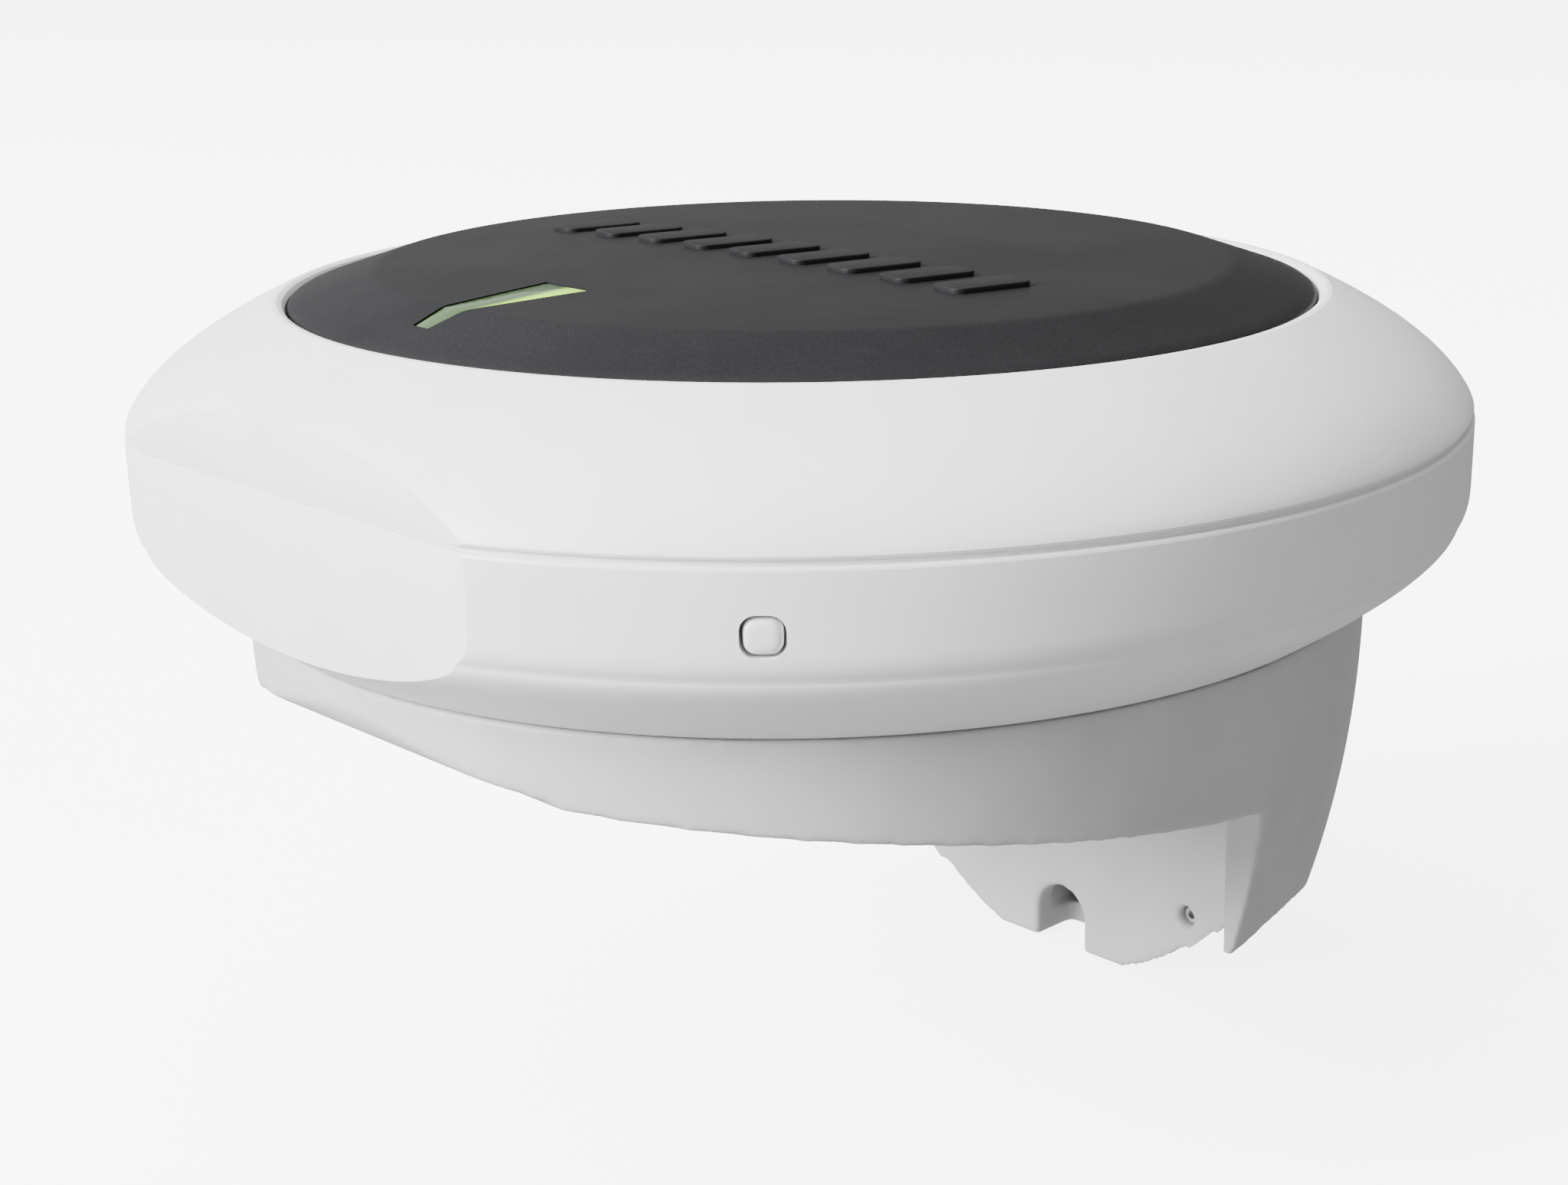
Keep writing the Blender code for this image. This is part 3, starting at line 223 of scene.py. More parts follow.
def box_mesh(low, high):
    mesh = bpy.data.meshes.new("box")
    shape = bmesh.new()
    bmesh.ops.create_cube(shape, size=1.0)
    bmesh.ops.scale(shape, vec=Vector(high) - Vector(low), verts=shape.verts)
    bmesh.ops.translate(shape, vec=(Vector(high) + Vector(low)) / 2, verts=shape.verts)
    shape.to_mesh(mesh)
    shape.free()
    return mesh


def prism_mesh(outline, low, high, turn=None):
    mesh = bpy.data.meshes.new("prism")
    shape = bmesh.new()
    face = shape.faces.new([shape.verts.new((x, y, low)) for x, y in outline])
    lifted = bmesh.ops.extrude_face_region(shape, geom=[face])["geom"]
    raised = [v for v in lifted if isinstance(v, bmesh.types.BMVert)]
    bmesh.ops.translate(shape, vec=(0, 0, high - low), verts=raised)
    if turn:
        bmesh.ops.transform(shape, matrix=turn, verts=shape.verts)
    bmesh.ops.recalc_face_normals(shape, faces=shape.faces)
    shape.to_mesh(mesh)
    shape.free()
    return mesh


def rod_mesh(radius, low, high, centre=(0, 0), sides=48, turn=None):
    mesh = bpy.data.meshes.new("rod")
    shape = bmesh.new()
    bmesh.ops.create_cone(shape, cap_ends=True, segments=sides, radius1=radius, radius2=radius,
                          depth=high - low)
    bmesh.ops.translate(shape, vec=(centre[0], centre[1], (high + low) / 2), verts=shape.verts)
    if turn:
        bmesh.ops.transform(shape, matrix=turn, verts=shape.verts)
    shape.to_mesh(mesh)
    shape.free()
    return mesh


def from_side(outline, reach):
    """A prism across the part, from points (distance behind the axis, height)."""
    turn = Matrix(((0, 0, 1, 0), (1, 0, 0, 0), (0, 1, 0, 0), (0, 0, 0, 1)))
    return prism_mesh(outline, -reach, reach, turn)


def loft_mesh(sections):
    mesh = bpy.data.meshes.new("loft")
    shape = bmesh.new()
    rings = [[shape.verts.new(p) for p in section] for section in sections]
    count = len(rings[0])
    for lower, upper in zip(rings, rings[1:]):
        for i in range(count):
            j = (i + 1) % count
            shape.faces.new((lower[i], lower[j], upper[j], upper[i]))
    shape.faces.new(rings[0])
    shape.faces.new(rings[-1])
    bmesh.ops.recalc_face_normals(shape, faces=shape.faces)
    shape.to_mesh(mesh)
    shape.free()
    return mesh


def arc(cx, cy, radius, start, end, count):
    angles = [math.radians(start + (end - start) * i / count) for i in range(count + 1)]
    return [(cx + radius * math.cos(a), cy + radius * math.sin(a)) for a in angles]


def curve_points(start, control, end, count):
    points = []
    for i in range(count + 1):
        t = i / count
        points.append(tuple((1 - t) ** 2 * a + 2 * t * (1 - t) * b + t * t * c
                            for a, b, c in zip(start, control, end)))
    return points


def rounded_rectangle(width, height, radius, steps=6):
    x = width / 2 - radius
    y = height / 2 - radius
    return (arc(x, y, radius, 0, 90, steps) + arc(-x, y, radius, 90, 180, steps)
            + arc(-x, -y, radius, 180, 270, steps) + arc(x, -y, radius, 270, 360, steps))


# ---------------------------------------------------------------- materials
def shader_of(name, roughness, metallic=0.0, specular=0.5):
    look = bpy.data.materials.new(name)
    look.use_nodes = True
    shader = look.node_tree.nodes["Principled BSDF"]
    shader.inputs["Roughness"].default_value = roughness
    shader.inputs["Metallic"].default_value = metallic
    shader.inputs["Specular IOR Level"].default_value = specular
    return look, look.node_tree, shader


def noise(tree, scale, detail=2.0, roughness=0.5, stretch=(1, 1, 1)):
    coordinates = tree.nodes.new("ShaderNodeTexCoord")
    mapping = tree.nodes.new("ShaderNodeMapping")
    mapping.inputs["Scale"].default_value = stretch
    texture = tree.nodes.new("ShaderNodeTexNoise")
    texture.inputs["Scale"].default_value = scale
    texture.inputs["Detail"].default_value = detail
    texture.inputs["Roughness"].default_value = roughness
    tree.links.new(coordinates.outputs["Object"], mapping.inputs["Vector"])
    tree.links.new(mapping.outputs["Vector"], texture.inputs["Vector"])
    return texture.outputs["Fac"]


def colour_between(tree, factor, low, high, start=0.35, end=0.65):
    ramp = tree.nodes.new("ShaderNodeValToRGB")
    ramp.color_ramp.elements[0].position = start
    ramp.color_ramp.elements[0].color = (*low, 1)
    ramp.color_ramp.elements[1].position = end
    ramp.color_ramp.elements[1].color = (*high, 1)
    tree.links.new(factor, ramp.inputs["Fac"])
    return ramp.outputs["Color"]


def spread(tree, factor, low, high):
    step = tree.nodes.new("ShaderNodeMapRange")
    step.inputs["From Min"].default_value = 0.3
    step.inputs["From Max"].default_value = 0.7
    step.inputs["To Min"].default_value = low
    step.inputs["To Max"].default_value = high
    tree.links.new(factor, step.inputs["Value"])
    return step.outputs["Result"]


def bump(tree, shader, heights):
    """Bumps on top of each other: (height output, strength, distance in metres)."""
    previous = None
    for height, strength, distance in heights:
        node = tree.nodes.new("ShaderNodeBump")
        node.inputs["Strength"].default_value = strength
        node.inputs["Distance"].default_value = distance
        tree.links.new(height, node.inputs["Height"])
        if previous:
            tree.links.new(previous, node.inputs["Normal"])
        previous = node.outputs["Normal"]
    tree.links.new(previous, shader.inputs["Normal"])


def moulded(name, low, high, roughness, grain=6500, grain_depth=0.00001, mottle=90):
    """Injection-moulded plastic: a fine spark-eroded grain, slow changes of tone and gloss."""
    look, tree, shader = shader_of(name, roughness[0])
    slow = noise(tree, mottle, 3.0, 0.55)
    fine = noise(tree, grain, 2.0, 0.6)
    tree.links.new(colour_between(tree, slow, low, high), shader.inputs["Base Color"])
    tree.links.new(spread(tree, fine, roughness[0], roughness[1]), shader.inputs["Roughness"])
    bump(tree, shader, [(fine, 0.35, grain_depth), (slow, 0.15, 0.00004)])
    return look


def grained(name, low, high, roughness, grain, grain_depth):
    """Dark radome plastic with a visible leathery grain and tiny lighter specks."""
    look, tree, shader = shader_of(name, roughness[0], specular=0.12)
    slow = noise(tree, 60, 3.0, 0.6)
    fine = noise(tree, grain, 3.0, 0.65)
    tone = tree.nodes.new("ShaderNodeMix")
    tone.data_type = "RGBA"
    tone.blend_type = "MULTIPLY"
    tone.inputs["Factor"].default_value = 0.55
    tree.links.new(colour_between(tree, slow, low, high), tone.inputs["A"])
    tree.links.new(colour_between(tree, fine, (0.55, 0.55, 0.56), (1.25, 1.25, 1.25), 0.38, 0.66),
                   tone.inputs["B"])
    tree.links.new(tone.outputs["Result"], shader.inputs["Base Color"])
    tree.links.new(spread(tree, fine, roughness[0], roughness[1]), shader.inputs["Roughness"])
    bump(tree, shader, [(fine, 0.6, grain_depth), (slow, 0.1, 0.00005)])
    return look


def rubbery(name):
    look, tree, shader = shader_of(name, 0.75, specular=0.35)
    slow = noise(tree, 140, 3.0, 0.6)
    fine = noise(tree, 4200, 2.0, 0.6)
    tree.links.new(colour_between(tree, slow, (0.018, 0.018, 0.019), (0.035, 0.035, 0.036)),
                   shader.inputs["Base Color"])
    tree.links.new(spread(tree, fine, 0.65, 0.85), shader.inputs["Roughness"])
    bump(tree, shader, [(fine, 0.4, 0.00002)])
    return look


def machined(name, low, high, roughness, stretch=(1, 1, 14)):
    look, tree, shader = shader_of(name, roughness[0], metallic=1.0)
    lines = noise(tree, 900, 3.0, 0.7, stretch)
    stain = noise(tree, 180, 3.0, 0.6)
    tree.links.new(colour_between(tree, stain, low, high), shader.inputs["Base Color"])
    tree.links.new(spread(tree, lines, roughness[0], roughness[1]), shader.inputs["Roughness"])
    bump(tree, shader, [(lines, 0.25, 0.00001)])
    return look


def board_look():
    look, tree, shader = shader_of("circuit_board", 0.4)
    cells = tree.nodes.new("ShaderNodeTexVoronoi")
    cells.feature = "DISTANCE_TO_EDGE"
    cells.inputs["Scale"].default_value = 260
    coordinates = tree.nodes.new("ShaderNodeTexCoord")
    tree.links.new(coordinates.outputs["Object"], cells.inputs["Vector"])
    tracks = colour_between(tree, cells.outputs["Distance"], (0.05, 0.30, 0.13), (0.010, 0.12, 0.05),
                            0.02, 0.06)
    tree.links.new(tracks, shader.inputs["Base Color"])
    fine = noise(tree, 3000)
    tree.links.new(spread(tree, fine, 0.3, 0.5), shader.inputs["Roughness"])
    bump(tree, shader, [(cells.outputs["Distance"], 0.3, 0.00004)])
    return look


def ceramic_look():
    look, tree, shader = shader_of("ceramic", 0.6)
    grain = noise(tree, 2500, 3.0, 0.7)
    tree.links.new(colour_between(tree, grain, (0.58, 0.54, 0.45), (0.74, 0.70, 0.60)),
                   shader.inputs["Base Color"])
    tree.links.new(spread(tree, grain, 0.5, 0.75), shader.inputs["Roughness"])
    bump(tree, shader, [(grain, 0.4, 0.00003)])
    return look


def light_look():
    """Clear grey-green plastic. A narrow band along one side of the wedge is painted glow, in both its colour
    and its emission.
    """
    look, tree, shader = shader_of("light_lens", 0.14, specular=0.6)
    coordinates = tree.nodes.new("ShaderNodeTexCoord")
    apart = tree.nodes.new("ShaderNodeSeparateXYZ")
    tree.links.new(coordinates.outputs["Object"], apart.inputs["Vector"])
    slant = tree.nodes.new("ShaderNodeMath")
    slant.operation = "MULTIPLY_ADD"
    slant.inputs[1].default_value = 0.13
    tree.links.new(apart.outputs["Y"], slant.inputs[0])
    tree.links.new(apart.outputs["X"], slant.inputs[2])
    # Painted glow: a narrow band along one side of the wedge, lighter green in colour.
    painted_glow_band = tree.nodes.new("ShaderNodeMapRange")
    painted_glow_band.interpolation_type = "SMOOTHSTEP"
    painted_glow_band.inputs["From Min"].default_value = -0.0046
    painted_glow_band.inputs["From Max"].default_value = -0.0030
    tree.links.new(slant.outputs["Value"], painted_glow_band.inputs["Value"])
    tone = colour_between(tree, painted_glow_band.outputs["Result"], (0.05, 0.09, 0.035), (0.40, 0.75, 0.03), 0.0, 1.0)
    tree.links.new(tone, shader.inputs["Base Color"])
    fine = noise(tree, 1500, 2.0, 0.5)
    tree.links.new(spread(tree, fine, 0.10, 0.22), shader.inputs["Roughness"])
    # Painted glow on the same band, as emission.
    glow = colour_between(tree, painted_glow_band.outputs["Result"], (0.010, 0.015, 0.008), (0.42, 0.80, 0.03), 0.0, 1.0)
    tree.links.new(glow, shader.inputs["Emission Color"])
    shader.inputs["Emission Strength"].default_value = 0.6
    bump(tree, shader, [(fine, 0.15, 0.00001)])
    return look


WHITE = moulded("white_shell", (0.78, 0.78, 0.795), (0.82, 0.82, 0.83), (0.34, 0.46))
# The bracket's grey is darker than the head's white: partly a greyer plastic, partly painted shade for the
# skirt and leg under the head's overhang.
BRACKET_GREY_AND_SHADE = moulded("bracket_shell", (0.46, 0.46, 0.475), (0.50, 0.50, 0.51), (0.40, 0.54))
BUTTON = moulded("button_cap", (0.77, 0.77, 0.785), (0.81, 0.81, 0.82), (0.32, 0.42), mottle=300)
CAP = grained("radome", (0.0085, 0.0085, 0.0095), (0.0115, 0.0115, 0.0125), (0.48, 0.62), 3400, 0.00005)
LENS = light_look()
RUBBER = rubbery("seal_rubber")
STEEL = machined("screw_steel", (0.50, 0.50, 0.49), (0.66, 0.66, 0.64), (0.24, 0.42))
SHEET = machined("tinned_sheet", (0.60, 0.60, 0.58), (0.74, 0.74, 0.71), (0.22, 0.38), (1, 14, 1))
BRASS = machined("plated_brass", (0.66, 0.48, 0.22), (0.82, 0.62, 0.32), (0.22, 0.40))
BLACK = moulded("black_plastic", (0.030, 0.030, 0.031), (0.045, 0.045, 0.046), (0.42, 0.58), grain=3800,
                grain_depth=0.00002)
DARK_GREY = moulded("insert_plastic", (0.13, 0.13, 0.14), (0.18, 0.18, 0.19), (0.42, 0.56), grain=3800)
BOARD = board_look()
CERAMIC = ceramic_look()


# ---------------------------------------------------------------- head
def flat_box(distance):
    return box_mesh((-0.2, -0.2, -0.1), (0.2, -distance, 0.1))


def hollowed(mesh, hollow):
    return boolean(mesh, boolean(hollow, flat_box(FLAT - WALL)))


def cover_piece():
    """Upper shell: a domed ring round the cap, cut flat at the front, with a soft edge everywhere."""
    rim = CAP_RADIUS + 0.0011
    outside = curve_points((rim + 0.0004, RISE - 0.00005), (RADIUS * 0.951, RISE * 0.55),
                           (RADIUS * 0.9936, 0.0011), 26)
    recess = CAP_RADIUS + 0.0002
    inner = CAP_RADIUS - 0.0040
    low = 0.00025
    profile = ([(inner, RISE - 0.0034), (recess, RISE - 0.0034), (recess, RISE - 0.0007),
                (recess + 0.0003, RISE - 0.0002), (rim - 0.0001, RISE - 0.00002)] + outside
               + [(RADIUS * 0.9965, 0.0006), (RADIUS * 0.9955, 0.00036), (RADIUS * 0.993, low), (inner, low)])
    mesh = boolean(turned_mesh(profile), flat_box(FLAT))
    inside = [(r - WALL, max(min(z - WALL * 0.75, RISE - 0.006), low - 0.001)) for r, z in outside[2::4]]
    hollow = turned_mesh([(inner - 0.004, RISE - 0.006)] + inside + [(inner - 0.004, low - 0.001)])
    mesh = beveled(hollowed(mesh, hollow), 0.00028, 3, 13)
    return place("cover_shell", smooth(mesh, 50), WHITE, "head", "upper_cover")


def housing_piece():
    """Lower shell with its side band, rounded underside, button opening and lugged collar."""
    top = -0.00025
    bottom = curve_points((RADIUS * 0.986, -DROP * 0.553), (RADIUS * 0.992, -DROP * 0.66),
                          (SEAT_RADIUS, -DROP), 22)
    band = [(RADIUS * 0.9928, top), (RADIUS * 0.9972, -0.00034), (RADIUS * 0.9987, -0.0006),
            (RADIUS * 0.9985, -DROP * 0.2), (RADIUS * 0.998, -DROP * 0.40)]
    crease = curve_points((RADIUS * 0.9975, -DROP * 0.44), (RADIUS * 0.996, -DROP * 0.505),
                          (RADIUS * 0.9885, -DROP * 0.542), 6)
    floor = -DROP + WALL
    mesh = turned_mesh([(0, top)] + band + crease + bottom[1:] + [(0, -DROP)], closed=False)
    mesh = boolean(mesh, flat_box(FLAT))
    inside = [(r - WALL, max(z + WALL * 0.8, floor)) for r, z in bottom[2::5]]
    hollow = turned_mesh([(0, 0.001), (RADIUS - WALL, 0.001), (RADIUS - WALL, -DROP * 0.4)] + inside
                         + [(0, floor)], closed=False)
    mesh = beveled(hollowed(mesh, hollow), 0.00028, 3, 13)
    mesh = boolean(mesh, collar_mesh(), "UNION")
    for i in range(LUG_COUNT):
        mesh = boolean(mesh, lug_mesh(90 + 360 / LUG_COUNT * i), "UNION")
    mesh = boolean(mesh, rod_mesh(SOCKET_HOLE, -DROP - 0.01, 0.005, (0, SOCKET_SETBACK)))
    for i in range(SCREW_COUNT):
        bearing = 45 + 360 / SCREW_COUNT * i
        spot = arc(0, 0, SCREW_CIRCLE, bearing, bearing, 1)[0]
        mesh = boolean(mesh, rod_mesh(SCREW_HOLE, -DROP - 0.01, -DROP + 0.0020, spot))
    mesh = boolean(mesh, button_prism(0.00030, 0.006, 0.004))
    return place("housing_shell", smooth(mesh, 50), WHITE, "head", "lower_housing")


def collar_mesh():
    top = -DROP + 0.001
    foot = -DROP - COLLAR_DEPTH
    profile = [(COLLAR_RADIUS, top), (COLLAR_RADIUS, foot), (COLLAR_BORE, foot), (COLLAR_BORE, top)]
    return turned_mesh(profile, 96)


def lug_mesh(middle):
    start = middle - LUG_HALF_ANGLE
    end = middle + LUG_HALF_ANGLE
    outline = arc(0, 0, LUG_RADIUS, start, end, 10) + arc(0, 0, 0.0370, end, start, 10)
    return prism_mesh(outline, -DROP - 0.0051, -DROP - 0.0034)


def tongue_piece():
    """Thin rib behind the parting line, so that no light shows through the gap between the shells."""
    outside = RADIUS * 0.9905
    inside = RADIUS * 0.97
    ring = turned_mesh([(outside, 0.0010), (outside, -0.0010), (inside, -0.0010), (inside, 0.0010)])
    tongue = boolean(ring, flat_box(FLAT - 0.0006))
    bar = box_mesh((-0.0275, -FLAT + 0.0006, -0.0009), (0.0275, -FLAT + 0.0020, 0.0009))
    item = place("parting_tongue", smooth(boolean(tongue, bar, "UNION"), 40), BUTTON, "head")


def button_turn():
    a = math.radians(BUTTON_BEARING)
    outward = Vector((math.sin(a), -math.cos(a), 0))
    up = Vector((0, 0, 1))
    side = up.cross(outward)
    return Matrix.Translation((0, 0, -BUTTON_DROP)) @ Matrix((side, up, outward)).transposed().to_4x4()


def button_prism(margin, depth, proud):
    outline = rounded_rectangle(BUTTON_WIDTH + 2 * margin, BUTTON_HEIGHT + 2 * margin, BUTTON_CORNER + margin)
    return prism_mesh(outline, BUTTON_FACE - depth, BUTTON_FACE + proud, button_turn())


def button_piece():
    """Pillowed pad with its flange and stem."""
    rings = []
    turn = button_turn()
    for shrink, depth in ((0.0, 0.0030), (0.0, 0.00050), (0.00006, 0.00030), (0.00020, 0.00014),
                          (0.00042, 0.00005), (0.00075, 0.00001)):
        outline = rounded_rectangle(BUTTON_WIDTH - 2 * shrink, BUTTON_HEIGHT - 2 * shrink,
                                    BUTTON_CORNER - shrink * 0.8)
        rings.append([turn @ Vector((x, y, BUTTON_FACE - depth)) for x, y in outline])
    pad = loft_mesh(rings)
    flange = prism_mesh(rounded_rectangle(0.0045, 0.0043, 0.001), BUTTON_FACE - 0.0038,
                        BUTTON_FACE - 0.0029, turn)
    stem = rod_mesh(0.0008, BUTTON_FACE - 0.0090, BUTTON_FACE - 0.0032, sides=24, turn=turn)
    mesh = boolean(boolean(pad, flange, "UNION"), stem, "UNION")
    return place("button_pad", smooth(mesh, 45), BUTTON, "button", "lock_button")


def cap_height(radius):
    shoulder = CAP_RADIUS - CAP_BEVEL_WIDTH
    top = CAP_EDGE + CAP_BEVEL_RISE
    if radius > shoulder:
        return top - CAP_BEVEL_RISE * (radius - shoulder) / CAP_BEVEL_WIDTH
    return top + CAP_CROWN * (1 - (radius / shoulder) ** 2)


def light_outline(clearance=0.0):
    wide = LIGHT_WIDE + clearance
    narrow = LIGHT_NARROW + clearance
    inner = -LIGHT_INNER + clearance
    outer = -LIGHT_OUTER - clearance
    return [(-wide, inner), (-narrow, outer), (narrow, outer), (wide, inner)]


def cap_piece():
    """Radome cap: crowned top and sloped border, open where the light is."""
    shoulder = CAP_RADIUS - CAP_BEVEL_WIDTH
    steps = 16
    top = [(shoulder * i / steps, cap_height(shoulder * i / steps)) for i in range(steps)]
    fold = curve_points((shoulder - 0.0007, cap_height(shoulder - 0.0007)),
                        (shoulder, cap_height(shoulder)),
                        (shoulder + 0.0007, cap_height(shoulder + 0.0007)), 5)
    border = [(shoulder + (CAP_RADIUS - shoulder) * f, cap_height(shoulder + (CAP_RADIUS - shoulder) * f))
              for f in (0.3, 0.55, 0.8)]
    edge = [(CAP_RADIUS - 0.0004, cap_height(CAP_RADIUS - 0.0004)), (CAP_RADIUS - 0.00012, CAP_EDGE - 0.0001),
            (CAP_RADIUS, CAP_EDGE - 0.0004), (CAP_RADIUS, CAP_EDGE - 0.0028)]
    under = [(CAP_RADIUS - 0.004, CAP_EDGE - 0.0028), (shoulder, CAP_EDGE + CAP_BEVEL_RISE - 0.0022),
             (0, CAP_EDGE + CAP_BEVEL_RISE - 0.0014)]
    mesh = turned_mesh(top + fold + border + edge + under, closed=False)
    mesh = boolean(mesh, prism_mesh(light_outline(0.0002), CAP_EDGE - 0.0035, CAP_EDGE + 0.01))
    return place("cap_shell", smooth(mesh, 30), CAP, "head", "radome_cap")


def bar_pieces():
    """Row of raised slanted bars on the cap."""
    for i in range(BAR_COUNT):
        x = -BAR_SPAN / 2 + BAR_WIDTH / 2 + (BAR_SPAN - BAR_WIDTH) / (BAR_COUNT - 1) * i
        turn = Matrix.Translation((x, BAR_SETBACK, 0)) @ Matrix.Rotation(math.radians(BAR_SLANT), 4, "Z")
        top = cap_height(math.hypot(x, BAR_SETBACK)) + BAR_PROUD
        bar = prism_mesh(rounded_rectangle(BAR_WIDTH, BAR_LENGTH, 0.0012, 8), top - BAR_HEIGHT, top, turn)
        item = place("cap_bar_%d" % (i + 1), smooth(beveled(bar, 0.00014, 3, 40), 40), CAP, "head")


def light_piece():
    """Light pipe: its top follows the cap, a hair below it, with softened edges."""
    shoulder = CAP_RADIUS - CAP_BEVEL_WIDTH
    flush = 0.00008
    top = [(r, cap_height(r) - flush) for r in (0.0, 0.025, 0.0315, 0.036, 0.040)]
    top += [(shoulder, cap_height(shoulder) - flush), (CAP_RADIUS, CAP_EDGE - flush)]
    outline = [(-r, z) for r, z in top] + [(-CAP_RADIUS, CAP_EDGE - 0.0030), (0, CAP_EDGE - 0.0030)]
    wedge = prism_mesh(light_outline(), CAP_EDGE - 0.0028, CAP_EDGE + 0.01)
    mesh = boolean(wedge, from_side(outline, 0.02), "INTERSECT")
    mesh = beveled(mesh, 0.00012, 2, 25)
    return place("light_wedge", smooth(mesh, 30), LENS, "head", "light_pipe")


# ---------------------------------------------------------------- bracket
def outer_radius(depth):
    return SEAT_RADIUS - TAPER * (depth / DEPTH) ** TAPER_POWER


def face_half_width(depth):
    return WALL_FACE_HALF - WALL_FACE_TAPER * (depth / DEPTH) ** 3.2


def underside(y):
    """Seat down to the sloped underside, at a distance behind the head's axis."""
    return UNDERSIDE_DEPTH + UNDERSIDE_SLOPE * (y + SEAT_RADIUS * 0.9)


def bracket_outline(depth):
    """Round at the front and sides, then straight back to the flat wall face."""
    radius = outer_radius(depth)
    setback = FACE + 0.001
    start = math.degrees(math.asin(setback / radius))
    outline = arc(0, 0, radius, -90, start, 90)
    x, y = outline[-1]
    half = face_half_width(depth)
    outline += [(x + (half - x) * i / 10, y + (WALL_AT - y) * i / 10) for i in range(1, 11)]
    return outline + [(-x, y) for x, y in reversed(outline[1:])]


def bracket_body():
    count = 40
    levels = [DEPTH * i / count for i in range(count + 1)]
    return loft_mesh([[(x, y, -d) for x, y in bracket_outline(d)] for d in levels])


def scoop_arc(count):
    across = SCOOP_REACH - SCOOP_ACROSS
    back = FACE - SCOOP_SETBACK
    return [(SCOOP_ACROSS + across * x, SCOOP_SETBACK + back * y) for x, y in arc(0, 0, 1, 0, 90, count)]


def scoop_tool():
    """The open space under the seat and in front of the leg, with a rounded lip at the front."""
    right = [(OUT, -OUT), (OUT, SCOOP_SETBACK)] + scoop_arc(40)
    plan = right + [(-x, y) for x, y in reversed(right)]
    bend = arc(-SEAT_RADIUS - 0.0003 + LIP, -underside(-SEAT_RADIUS) + LIP, LIP, 180, 262, 16)
    front = -SEAT_RADIUS * 0.9
    ceiling = [(-OUT, 0.0005), (-SEAT_RADIUS - 0.0003, 0.0005)] + bend
    ceiling += [(front, -underside(front)), (OUT, -underside(OUT)), (OUT, OUT), (-OUT, OUT)]
    return boolean(prism_mesh(plan, -DEPTH * 1.2, 0), from_side(ceiling, OUT))


def toe_tool():
    """Cuts the leg's sides back along a curve from the scoop's edge to the foot."""
    line = []
    for x, y in scoop_arc(40):
        share = (SEAT_RADIUS - math.hypot(x + 0.0012, y)) / TAPER
        line.append((y - 0.00005, DEPTH * share ** (1 / TAPER_POWER)))
    toe = [(-OUT, line[0][1])] + line + [(line[-1][0], DEPTH * 1.2), (-OUT, DEPTH * 1.2)]
    return from_side([(y, -d) for y, d in toe], OUT)


def well_tool():
    """Round hollow under the tray, its floor parallel to the underside."""
    half = 0.07
    low = -0.08
    floor = [(-half, -underside(-half) + BRACKET_WALL), (half, -underside(half) + BRACKET_WALL),
             (half, low), (-half, low)]
    return boolean(rod_mesh(WELL_RADIUS, -DEPTH, 0.002, sides=96), from_side(floor, half))


def leg_hollow_tool():
    near = FACE + BRACKET_WALL
    far = WALL_AT - BRACKET_WALL
    sections = []
    for f in (0.10, 0.35, 0.6, 0.78, 0.9, 1.0):
        depth = (DEPTH - BRACKET_WALL) * f
        radius = outer_radius(depth) - BRACKET_WALL * 1.3
        near_half = min(math.sqrt(max(radius ** 2 - near ** 2, 0.004 ** 2)), 0.0308)
        far_half = face_half_width(depth) - BRACKET_WALL
        sections.append([(-near_half, near, -depth), (near_half, near, -depth), (far_half, far, -depth),
                         (-far_half, far, -depth)])
    return loft_mesh(sections)


def passage_tool():
    """Slot for the cable, from the well back into the leg."""
    top = underside(0) - BRACKET_WALL
    middle = -top * 0.62
    return box_mesh((-PASSAGE_HALF, FACE * 0.35, middle - top * 0.225),
                    (PASSAGE_HALF, FACE * 1.35, middle + top * 0.225))


def notch_tool():
    """Arched notch for the cable, through the leg's front face at the foot."""
    arch = [(-NOTCH_RADIUS, -DEPTH - 0.005), (NOTCH_RADIUS, -DEPTH - 0.005)]
    arch += arc(0, -DEPTH + NOTCH_HEIGHT, NOTCH_RADIUS, 0, 180, 24)
    return prism_mesh(arch, -FACE - 0.0067, -FACE + 0.005, Matrix.Rotation(math.radians(90), 4, "X"))


def along_y(radius, x, z, near, far):
    turn = Matrix.Translation((x, 0, z)) @ Matrix.Rotation(math.radians(-90), 4, "X")
    return rod_mesh(radius, near, far, sides=48, turn=turn)


def bracket_piece():
    """Moulded bracket, cut as the solid is, then softened all over so its edges read as moulded."""
    tools = [scoop_tool(), toe_tool(), rod_mesh(RECESS_RADIUS, -RECESS_DEPTH, 0.01, sides=128), well_tool(),
             leg_hollow_tool(), passage_tool(), notch_tool()]
    for x in (-WALL_SCREW_X, WALL_SCREW_X):
        tools.append(along_y(WALL_SCREW_HOLE, x, WALL_SCREW_Z, WALL_AT - 0.02, WALL_AT + 0.01))
        tools.append(along_y(DRIVER_HOLE, x, WALL_SCREW_Z, FACE - 0.02, WALL_AT - 0.015))
    tools.append(along_y(SET_SCREW_HOLE, SET_SCREW_X, -DEPTH + SET_SCREW_RISE, FACE - 0.02, FACE + 0.0064))
    mesh = bracket_body()
    for tool in tools:
        mesh = boolean(mesh, tool)
    mesh = smooth(remeshed(mesh, 0.00045, 6), 60)
    return place("bracket_shell", mesh, BRACKET_GREY_AND_SHADE, "bracket", "wall_bracket", origin=(0, AXIS_Y, SEAT_Z))


# ---------------------------------------------------------------- carried-over nodes
def dress(names, look):
    for name in names:
        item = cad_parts[name]
        item.data.materials.clear()
        item.data.materials.append(look)


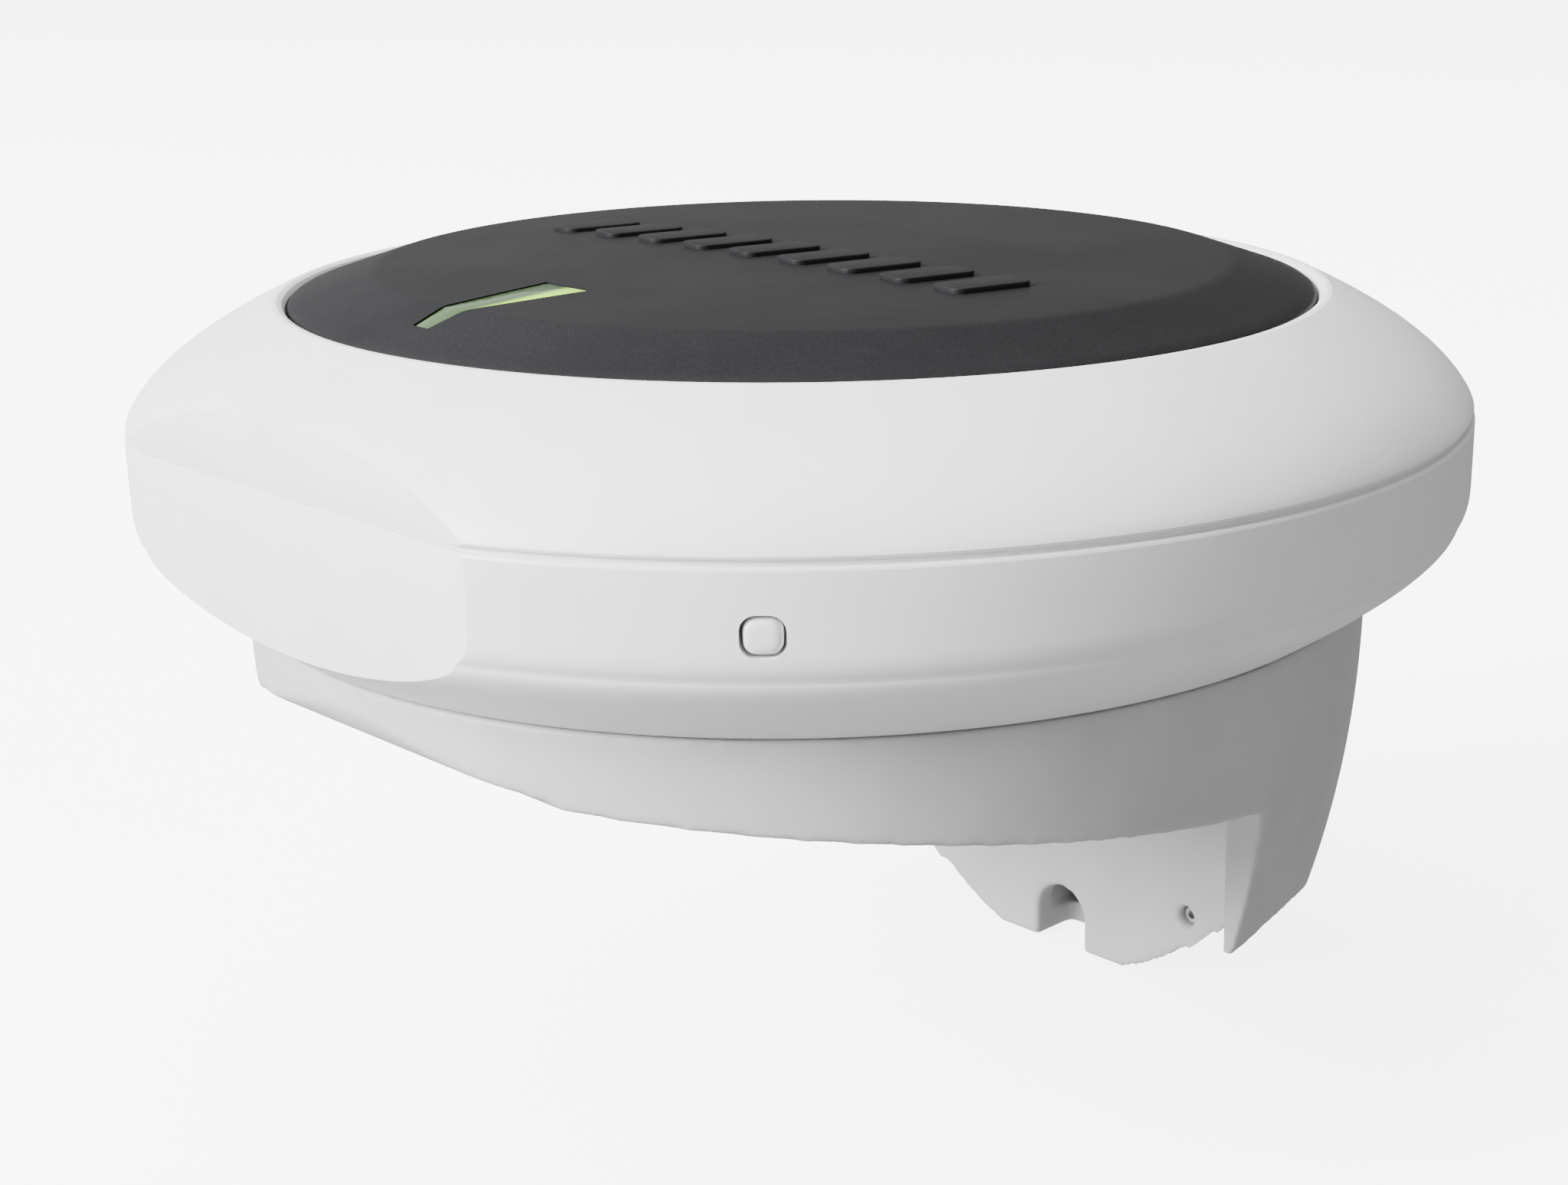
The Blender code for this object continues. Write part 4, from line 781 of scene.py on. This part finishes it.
def dress_nodes():
    dress(["cover_seal", "connector_seal", "rim_seal"], RUBBER)
    dress(["board_screw_%d" % i for i in (1, 2, 3)] + ["tray_screw_%d" % i for i in (1, 2, 3)]
          + ["housing_screw_%d" % i for i in (1, 2, 3, 4)] + ["wall_screw_1", "wall_screw_2", "set_screw"]
          + ["button_spring"], STEEL)
    dress(["antenna_ground_plate", "antenna_electrode", "motion_sensor", "shield_can", "backup_cell"], SHEET)
    dress(["antenna_standoff_%d" % i for i in (1, 2, 3)] + ["connector_nut"]
          + ["connector_pin_%d" % i for i in range(1, 6)], BRASS)
    dress(["antenna_patch", "status_lamp"], CERAMIC)
    dress(["main_board"], BOARD)
    dress(["connector_insert"], DARK_GREY)
    dress(["connector_shell", "lock_tray"], BLACK)


# ---------------------------------------------------------------- floor, light and camera
def area(name, location, size, power):
    """A square light aimed at the head."""
    lamp = bpy.data.lights.new(name, "AREA")
    lamp.shape = "SQUARE"
    lamp.size = size
    lamp.energy = power
    item = bpy.data.objects.new(name, lamp)
    item.location = location
    item.rotation_euler = (Vector((0, -0.07, 0.03)) - Vector(location)).to_track_quat("-Z", "Y").to_euler()
    bpy.context.scene.collection.objects.link(item)


def studio():
    floor_look, tree, shader = shader_of("floor", 0.9, specular=0.1)
    fine = noise(tree, 40, 3.0, 0.6)
    tree.links.new(colour_between(tree, fine, (0.90, 0.90, 0.90), (0.92, 0.92, 0.92)),
                   shader.inputs["Base Color"])
    shader.inputs["Emission Color"].default_value = (1, 1, 1, 1)
    shader.inputs["Emission Strength"].default_value = 5.0
    top = CAD_BOX[0][2] - 0.0005
    floor = helper("floor", box_mesh((-20, -20, CAD_BOX[0][2] - 0.0105), (20, 20, top)))
    floor.data.materials.append(floor_look)
    floor.visible_diffuse = False
    floor.visible_glossy = False
    world_light()
    area("key", (-0.75, -2.2, 1.25), 1.3, 300)
    area("top", (-0.3, -0.5, 2.2), 1.4, 50)


def world_light():
    """White light all round, brighter from the front left."""
    world = bpy.data.worlds.new("studio")
    bpy.context.scene.world = world
    world.use_nodes = True
    tree = world.node_tree
    background = tree.nodes["Background"]
    coordinates = tree.nodes.new("ShaderNodeTexCoord")
    toward = tree.nodes.new("ShaderNodeVectorMath")
    toward.operation = "DOT_PRODUCT"
    toward.inputs[1].default_value = (-0.55, -0.80, -0.10)
    tree.links.new(coordinates.outputs["Generated"], toward.inputs[0])
    fade = tree.nodes.new("ShaderNodeMapRange")
    fade.interpolation_type = "SMOOTHSTEP"
    fade.inputs["From Min"].default_value = -0.75
    fade.inputs["From Max"].default_value = 1.0
    fade.inputs["To Min"].default_value = 0.42
    fade.inputs["To Max"].default_value = 1.15
    tree.links.new(toward.outputs["Value"], fade.inputs["Value"])
    tree.links.new(fade.outputs["Result"], background.inputs["Strength"])
    background.inputs["Color"].default_value = (1, 1, 1, 1)


def camera():
    """From the front right and 16 degrees above level, with an off-centre framing."""
    data = bpy.data.cameras.new("camera")
    data.sensor_width = 36.0
    data.lens = 56.93203125
    data.shift_x = -0.1164
    data.clip_start = 0.01
    data.clip_end = 50
    item = bpy.data.objects.new("camera", data)
    bpy.context.scene.collection.objects.link(item)
    item.location = (2.754 * RADIUS, -2.524 * RADIUS + AXIS_Y, 0.770 * RADIUS + PARTING_Z)
    bearing = math.radians(133.84)
    tilt = 0.2862
    look = Vector((math.cos(tilt) * math.cos(bearing), math.cos(tilt) * math.sin(bearing), -math.sin(tilt)))
    turn = look.to_track_quat("-Z", "Y").to_matrix() @ Matrix.Rotation(-0.0026, 3, "Z")
    item.rotation_euler = turn.to_euler()
    bpy.context.scene.camera = item


cover_piece()
housing_piece()
tongue_piece()
button_piece()
cap_piece()
bar_pieces()
light_piece()
bracket_piece()
dress_nodes()
studio()
camera()
